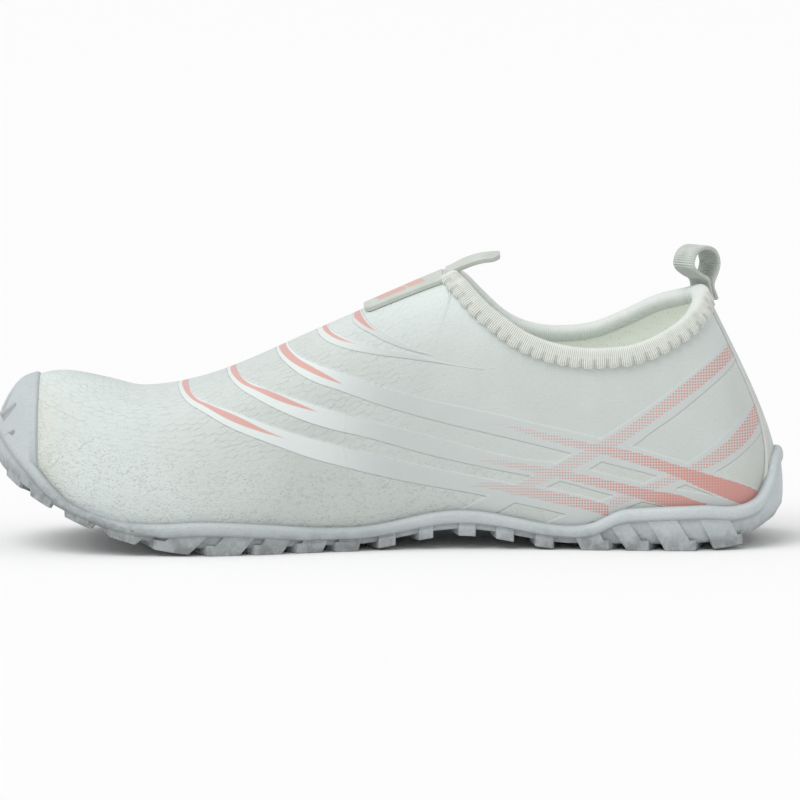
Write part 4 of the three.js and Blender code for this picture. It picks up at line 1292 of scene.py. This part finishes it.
def makeToeCap():
    size = toeCap
    heights, backs = (np.array(column, float) for column in zip(*size["edge"]))

    def behindEdge(points):
        return points[:, 0] + form["length"] / 2 - np.interp(points[:, 2], heights, backs)

    # The cap starts on the widest line of the rim's bead.
    def belly(section):
        cover = rimCover(section)
        return cover - 0.55 * beadRise(cover)

    fine = np.linspace(lastSection - 4, lastSection + 4, 801)
    section = Section(fine)
    fine = fine[behindEdge(section.at(belly(section))) < 0]
    reach = np.maximum(reachUp(fine, behindEdge)[0], belly(Section(fine)) + 0.05)
    tip = around(np.array([float(lastSection)]), "edgeY")[0][0]

    def place(a, b):
        u = mix(fine[0], fine[-1], a)
        section = Section(u)
        low, top = belly(section), np.interp(u, fine, reach)
        rollFrom, rollTo = size["rollFrom"], size["rollTo"]
        body = np.clip(b / rollFrom, 0, 1)
        roll = np.clip((b - rollFrom) / (rollTo - rollFrom), 0, 1) * math.pi / 2
        end = np.clip((b - rollTo) / (1 - rollTo), 0, 1)
        radius = np.minimum(size["roll"], 0.5 * (top - low))
        distance = mix(low, top - radius, body) + radius * np.sin(roll)
        face = mix(section.bead + 0.06, size["thick"], smooth((distance - low) / size["blend"]))
        face = face - (face - size["rear"]) * smooth(1 - (top - distance) / size["fade"])
        offset = face - radius * (1 - np.cos(roll)) * 0.7 - end * 0.5
        points = section.at(distance)
        dip = np.zeros(len(points))
        for one, two in size["grooves"]:
            one, two = np.array(one, float), np.array(two, float)
            flat = points[:, [0, 2]] + (form["length"] / 2, 0) - one
            run = two - one
            share = np.clip(flat @ run / (run @ run), 0, 1)
            half = size["grooveWidth"] / 2 * mix(1, size["grooveTaper"], share)
            away = np.linalg.norm(flat - share[:, None] * run, axis=1) / half
            dip = np.maximum(dip, smooth((1.2 - away) / 0.6) * (1 - 0.35 * share))
        dip *= smooth((np.abs(points[:, 1] - tip) - 0.5) / 1.5)
        offset = offset - dip * size["grooveDepth"]
        # the grooves' depth also paints shade in them, through the rubber's shader
        pattern = np.stack([points[:, 0], dip], 1)
        return points + formNormal(section, distance) * offset[:, None], pattern

    cap = gridPiece("toeCap", size["columns"], size["rows"], place, weld=0.002)
    return solidify(turnOutward(cap, (-0.09, 0, 0.03)), size["skin"], even=False)


# Lugs along both edges: where each begins and ends, shares of the sole's length, the slant of
# its side, its reach inward, a share of ballWidth, and the sweep of its pad along the sole, a
# share of its own length
lugFields = "from to slant reach sweep".split()
lugRows = [
    (0.058, 0.094, 0.5, 0.15, -0.9),
    (0.118, 0.157, 0.6, 0.17, -0.9),
    (0.178, 0.205, 0.7, 0.17, -0.9),
    (0.228, 0.262, 0.5, 0.15, -0.9),
    (0.297, 0.32, 0, 0.08, 0.4),
    (0.347, 0.369, 0, 0.08, 0.4),
    (0.395, 0.416, 0, 0.08, 0.4),
    (0.448, 0.466, 0, 0.08, 0.4),
    (0.495, 0.516, 0, 0.08, 0.4),
    (0.542, 0.57, -0.3, 0.15, 0.9),
    (0.587, 0.618, -0.5, 0.16, 0.9),
    (0.637, 0.671, -0.7, 0.16, 0.9),
    (0.69, 0.731, -0.9, 0.16, 0.9),
    (0.754, 0.797, -1, 0.16, 0.9),
    (0.821, 0.854, -1, 0.15, 0.9),
    (0.878, 0.91, -0.8, 0.13, 0.9),
    (0.931, 0.955, -0.5, 0.1, 0.9),
    (0.97, 0.988, -0.2, 0.07, 0.3),
]
lugs = [dict(zip(lugFields, row)) for row in lugRows]
lugLooks = {"cuts": 3, "round": 0.55, "roundSteps": 3, "roundAngle": 35}


# Place round the loop where the sole's edge reaches a share of its length
def edgePlace(along, medial):
    u = np.linspace(0, lastSection, 4000)
    reached = 0.5 - around(u if medial else loopKeys - u, "edgeX")[0] / form["length"]
    found = float(np.interp(along, reached, u))
    return found if medial else loopKeys - found


def makeLugs():
    bm = bmesh.new()
    for row in lugs:
        for medial in (True, False):
            ends = [edgePlace(row["from"], medial), edgePlace(row["to"], medial)]
            for part in ("pad", "side"):
                block = bmesh.new()
                bmesh.ops.create_cube(block, size=1)
                cuts = lugLooks["cuts"]
                bmesh.ops.subdivide_edges(block, edges=block.edges, cuts=cuts, use_grid_fill=True)
                share = np.array([vert.co for vert in block.verts]) + 0.5
                for vert, point in zip(block.verts, lugPoints(row, ends, part, share)):
                    vert.co = placed(point)
                block.normal_update()
                bmesh.ops.recalc_face_normals(block, faces=block.faces)
                mesh = bpy.data.meshes.new("block")
                block.to_mesh(mesh)
                block.free()
                bm.from_mesh(mesh)
                bpy.data.meshes.remove(mesh)
    size = lugLooks
    return bevelEdges(finished("soleLugs", bm), size["round"], size["roundSteps"], size["roundAngle"])


# Points of a lug: share runs along the sole, inward and up
def lugPoints(row, ends, part, share):
    s, inward, up = share.T
    u = mix(ends[0], ends[1], s)
    section = Section(u)
    face = section.bead - sole["lugSet"]
    if part == "pad":
        u = u + inward * (ends[1] - ends[0]) * row["sweep"]
        section = Section(u)
        outward = mix(face, -row["reach"] * form["ballWidth"], inward)
        height = up * (sole["lugDepth"] + sole["base"] / 2)
        lean = 0 * up
    else:
        cover = rimCover(section)
        height = up * (form["soleFloor"] + cover - 0.75 * beadRise(cover))
        outward = mix(face - 0.5 * up**2, sole["sideDepth"] / 4, inward)
        lean = row["slant"] * height
    points = section.foot + section.out * outward[:, None]
    points += stack(section.out[:, 1], -section.out[:, 0], 0) * lean[:, None]
    points[:, 2] = under(points[:, 0]) + height
    return points


# Bars: place, share of the sole's length from the heel, and half width, share of ballWidth
barRows = [
    (0.09, 0.12), (0.135, 0.14), (0.18, 0.14), (0.225, 0.13), (0.555, 0.18), (0.6, 0.22),
    (0.645, 0.25), (0.69, 0.26), (0.735, 0.26), (0.78, 0.24), (0.825, 0.22), (0.87, 0.16),
]
bars = {"width": 5, "point": 7, "round": 0.4}


# Chevron bars across the tread, with their middles toward the toe
def makeBars():
    bm = bmesh.new()
    for along, half in barRows:
        x = placeAlong(along)
        u = edgePlace(along, True)
        middle = Section(np.array([u, loopKeys - u])).foot[:, 1].mean()
        reach = half * form["ballWidth"]
        plan = [(-bars["point"], 0), (0, reach), (bars["width"], reach)]
        plan += [(bars["width"] - bars["point"], 0), (bars["width"], -reach), (0, -reach)]
        corners = [(x + px, middle + py) for px, py in plan]
        rings = []
        for lift in (0, sole["lugDepth"] + sole["base"] / 2):
            rings.append([bm.verts.new(placed((px, py, float(under(px)) + lift))) for px, py in corners])
        for ring in rings:
            bm.faces.new(ring)
        for i in range(len(plan)):
            j = (i + 1) % len(plan)
            bm.faces.new((rings[0][i], rings[0][j], rings[1][j], rings[1][i]))
    bmesh.ops.recalc_face_normals(bm, faces=bm.faces)
    return bevelEdges(finished("treadBars", bm, False), bars["round"], 2, lugLooks["roundAngle"])


# Trim

patch = {
    "thick": 1.6,
    "gap": 0.2,
    "length": 26,
    "width": 18,
    "corner": 2.5,
    "back": 17.2,
    "round": 0.45,
    "marks": [(7.6, 12.9), (13.6, 22.6)],  # two slanted bars, from the rear edge
    "markLean": 0.3,
    "markHalf": 6.3,
    "markSoft": 0.15,
}


# Point on the upper straight down from over x and y, moved out of it by rise
def dropOn(tree, x, y, rise):
    hit, normal = tree.ray_cast(placed((x, y, 200)), Vector((0, 0, -1)))[:2]
    outward = normal if normal.z > 0 else -normal
    return [c / mm - s for c, s in zip(hit + outward * rise * mm, form["shift"])]


def makePatch(tree):
    size = patch
    front = size["back"] - size["length"]
    middle = around(np.array([edgePlace(0.5 - front / form["length"], True)]), "crestY")[0][0]

    def place(a, b):
        x = mix(size["back"], front, a)
        into = np.clip(size["corner"] - (x - front), 0, size["corner"])
        trim = size["corner"] - np.sqrt(np.maximum(size["corner"] ** 2 - into**2, 0))
        half = size["width"] / 2 - trim
        y = middle + (2 * b - 1) * half
        points = [dropOn(tree, px, py, size["thick"] + size["gap"]) for px, py in zip(x, y)]
        return np.array(points), np.stack([size["back"] - x, y - middle], 1)

    piece = turnOutward(gridPiece("instepPatch", 48, 32, place), (0, 0, 0))
    return bevelEdges(solidify(piece, size["thick"]), size["round"], 3, 50)


tab = {
    "length": 17.8,
    "width": 14,
    "thick": 1.7,
    "crown": 26,
    "arch": 15,
    "archFrom": 0.4,  # share of length at which crown has turned into arch
    "tipFrom": 0.8,
    "tipNarrow": 0.6,
    "round": 0.5,
    # from the root out, shares of length
    "path": [
        (0, 0), (0.14, 0.064), (0.27, 0.135), (0.44, 0.207), (0.66, 0.268), (0.84, 0.288), (1, 0.296),
    ],
    "root": (18.0, 90.3),
}


# Smooth line through points, with count steps between each two
def curveThrough(points, count):
    points = [Vector(p) for p in points]
    ends = [points[0] * 2 - points[1], *points, points[-1] * 2 - points[-2]]
    line = []
    for i in range(len(points) - 1):
        a, b, c, d = ends[i : i + 4]
        for k in range(count):
            t = k / count
            square, cube = 2 * a - 5 * b + 4 * c - d, 3 * b - a - 3 * c + d
            line.append(0.5 * (2 * b + (c - a) * t + square * t**2 + cube * t**3))
    return line + [points[-1]]


def makeTab():
    size = tab
    rootX, rootZ = size["root"]
    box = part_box("instep_pull_tab")
    reach = size["length"]
    path = [(rootX + out * reach, 0, rootZ + rise * reach) for out, rise in size["path"]]
    line = np.array(curveThrough(path, 8))
    steps = len(line) - 1
    tangent = unit(np.gradient(line, axis=0))
    middle = (box[0].y + box[1].y) / 2 / mm - form["shift"][1]

    def place(a, b):
        i = np.rint(a * steps).astype(int)
        share = i / steps
        tip = np.clip((share - size["tipFrom"]) / (1 - size["tipFrom"]), 0, 1)
        across = (2 * b - 1) * size["width"] / 2 * np.sqrt(1 - size["tipNarrow"] * tip**2)
        turned = np.minimum(1, share / size["archFrom"])
        sag = across**2 / 2 * mix(1 / size["crown"], 1 / size["arch"], turned)
        normal = np.stack([-tangent[i, 2], 0 * share, tangent[i, 0]], 1)
        points = line[i] + normal * (size["thick"] / 2 - sag)[:, None]
        points[:, 1] = middle + across
        return points, np.stack([share * size["length"], across], 1)

    piece = turnOutward(gridPiece("pullTab", steps, 20, place), (0, 0, 0))
    return bevelEdges(solidify(piece, size["thick"]), size["round"], 3, 50)


strip = {
    "thick": 0.9,
    "width": 14,
    "shape": [(0, 1.25), (0.1, 0.85), (0.25, 0.6), (0.5, 0.5), (1, 0.4)],  # half widths on the way up
    "behindRim": 2,
    "underBinding": 0.6,
    "roundEdge": 0.9,
    "hem": 2.4,
    "stitch": 1.6,
    "stitchRows": (0.75, 1.75),  # in from the edge
    "thread": 0.14,
    "skin": 0.25,
}


def makeStrip():
    size = strip
    rows = [{"along": along, "half": half} for along, half in size["shape"]]
    feet = Section(np.array([0.0, 1.0])).foot
    perSection = np.linalg.norm(feet[1] - feet[0])
    fine = np.linspace(-1.5, 1.5, 301)
    reach = reachUp(fine % loopKeys, overCollar)[0]

    def place(a, b):
        side = 2 * b - 1
        half = readTable(rows, a, "half") * size["width"] / perSection
        u = side * half
        section = Section(u % loopKeys)
        low = rimCover(section) - size["behindRim"]
        top = np.interp(u, fine, reach) - binding["outside"] + size["underBinding"]
        distance = mix(low, top, a)
        edge = (1 - np.abs(side)) * half * perSection
        seam = smooth(edge / size["roundEdge"])
        dip = sum(np.exp(-(((edge - at) / 0.3) ** 2)) for at in (1.0, size["hem"]))
        offset = 0.08 + (size["thick"] + 0.22) * seam**0.7 - 0.16 * dip * seam
        points = onForm(u % loopKeys, distance, offset)
        return points, np.stack([distance, edge], 1)

    piece = turnOutward(gridPiece("heelStrip", 120, 64, place), (0.06, 0, 0.04))
    return solidify(piece, size["skin"])


loop = {
    "width": 9.6,
    "thick": 1.2,
    "depth": 12,
    "rise": 12.8,
    "foot": 4.8,
    "at": 1,
    "lean": 1.3,
    "ribPitch": 0.7,
    "ribDepth": 0.17,
    "foldSlack": 1.15,  # the sewn strands stand off by more where the wall turns
    # strand by the binding -1 to outer strand 1, height over the binding, how far the loop is open
    "path": [
        (-1, -1, 0), (-1, -0.5, 0), (-1, 0.15, 0), (-1, 0.29, 0.45), (-1, 0.45, 0.88), (-1, 0.62, 1),
        (-0.72, 0.88, 1), (0, 1, 1), (0.72, 0.88, 1), (1, 0.6, 1), (1, 0.36, 0.8), (1, 0.08, 0.2),
        (1, -0.2, 0), (1, -0.6, 0), (1, -1, 0),
    ],
}


# Webbing sewn to the outside of the collar, on the lateral side of the heel
def makeLoop():
    size = loop
    u = loopKeys - size["at"]
    samples = 600
    column = Section(np.full(samples, float(u)))
    distance = np.linspace(0, column.arc[0], samples)
    wall = column.at(distance)
    top = np.argmax(overCollar(wall) > 0)
    base = wall[top] + (0, 0, binding["top"])
    outward = unit(formNormal(column, distance)[top] * (1, 1, 0))
    across = np.array([-outward[1], outward[0], 0])
    skin = gap + binding["thick"] + gap + size["thick"] / 2
    doubled = skin + size["thick"] + gap
    middle = base @ outward + size["lean"]
    path = []
    for side, height, opening in size["path"]:
        z = base[2] + height * (size["rise"] if height > 0 else size["foot"])
        face = wall[np.argmax(wall[:, 2] >= min(z, base[2]))] @ outward
        sewn = face + size["foldSlack"] * (skin if side < 0 else doubled)
        out = mix(sewn, middle + size["depth"] / 2 * side, opening)
        path.append(across * (base @ across) + outward * out + (0, 0, z))
    line = np.array(curveThrough(path, 26))
    steps = len(line) - 1
    tangent = unit(np.gradient(line, axis=0))
    through = unit(np.cross(tangent, across))
    run = runAlong(line)
    # the flat section taken round once: lower face, edge, upper face, edge
    half = [(x, -0.5) for x in np.linspace(-0.47, 0.47, 9)] + [(0.5, -0.25), (0.5, 0.25)]
    ring = np.concatenate([half, np.negative(half)])

    def place(a, b):
        i = np.rint(a * steps).astype(int)
        j = np.rint(b * len(ring)).astype(int) % len(ring)
        rib = np.abs(np.sin(math.pi * run[i] / size["ribPitch"])) * size["ribDepth"]
        thick = size["thick"] - size["ribDepth"] + 2 * rib
        points = line[i] + across * (ring[j, 0] * size["width"])[:, None]
        points += through[i] * (ring[j, 1] * thick)[:, None]
        return points, np.stack([run[i], ring[j, 0] * size["width"]], 1)

    piece = gridPiece("heelLoop", steps, len(ring), place, weld=0.002)
    bm = bmesh.new()
    bm.from_mesh(piece.data)
    bmesh.ops.holes_fill(bm, edges=[edge for edge in bm.edges if edge.is_boundary], sides=0)
    bmesh.ops.recalc_face_normals(bm, faces=bm.faces)
    bm.to_mesh(piece.data)
    bm.free()
    return piece


# The insole is the CAD's own solid with a foam finish; the other pieces take their nodes' places.
def build():
    upper, tree = makeUpper()
    settle(upper, None, "upper")
    print("stage upper")
    settle(makeBinding(), elasticMaterial(), "collar_binding")
    print("stage binding")
    rubber = rubberMaterial()
    for made in (makeSoleCup, makeToeCap, makeLugs, makeBars):
        settle(made(), rubber, "outsole")
    print("stage sole")
    settle(makePatch(tree), filmMaterial("instepFilm", marks=True), "instep_patch")
    film = filmMaterial("smoothFilm")
    settle(makeTab(), film, "instep_pull_tab")
    settle(makeStrip(), stripMaterial(), "heel_strip")
    settle(makeLoop(), webbingMaterial(), "heel_pull_loop")
    print("stage trim")
    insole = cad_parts["insole"]
    insole.data.materials.clear()
    insole.data.materials.append(foamMaterial())


# Studio

studio = {
    "target": (3, 0, 46.5),
    "elevation": 6.5,
    "distance": 2000,
    "lens": 270,
    "sensor": 36,
    "air": 0.66,
    "sun": 1.5,
    "sunSpread": 50,
    "sunFrom": (-0.5, -0.35, 1),
}


def makeStudio():
    scene = bpy.context.scene
    camera = bpy.data.objects.new("camera", bpy.data.cameras.new("camera"))
    camera.data.lens = studio["lens"]
    camera.data.sensor_width = studio["sensor"]
    tilt = math.radians(studio["elevation"])
    target = Vector(studio["target"]) * mm
    camera.location = target + Vector((0, -math.cos(tilt), math.sin(tilt))) * studio["distance"] * mm
    camera.rotation_euler = (math.pi / 2 - tilt, 0, 0)
    scene.collection.objects.link(camera)
    scene.camera = camera

    bm = bmesh.new()
    bmesh.ops.create_grid(bm, x_segments=1, y_segments=1, size=6)
    floor = finished("floor", bm)
    floor.data.materials.append(Shader("paleFloor", (0.93, 0.93, 0.93), 0.9).material)

    world = bpy.data.worlds.new("studioAir")
    world.use_nodes = True
    world.node_tree.nodes["Background"].inputs["Color"].default_value = (1, 1, 1, 1)
    world.node_tree.nodes["Background"].inputs["Strength"].default_value = studio["air"]
    scene.world = world
    sun = bpy.data.lights.new("softSun", "SUN")
    sun.energy = studio["sun"]
    sun.angle = math.radians(studio["sunSpread"])
    sunObject = bpy.data.objects.new("softSun", sun)
    sunObject.rotation_euler = Vector(studio["sunFrom"]).to_track_quat("Z", "Y").to_euler()
    scene.collection.objects.link(sunObject)
    scene.view_settings.view_transform = "Standard"
    print("stage studio")


build()
makeStudio()
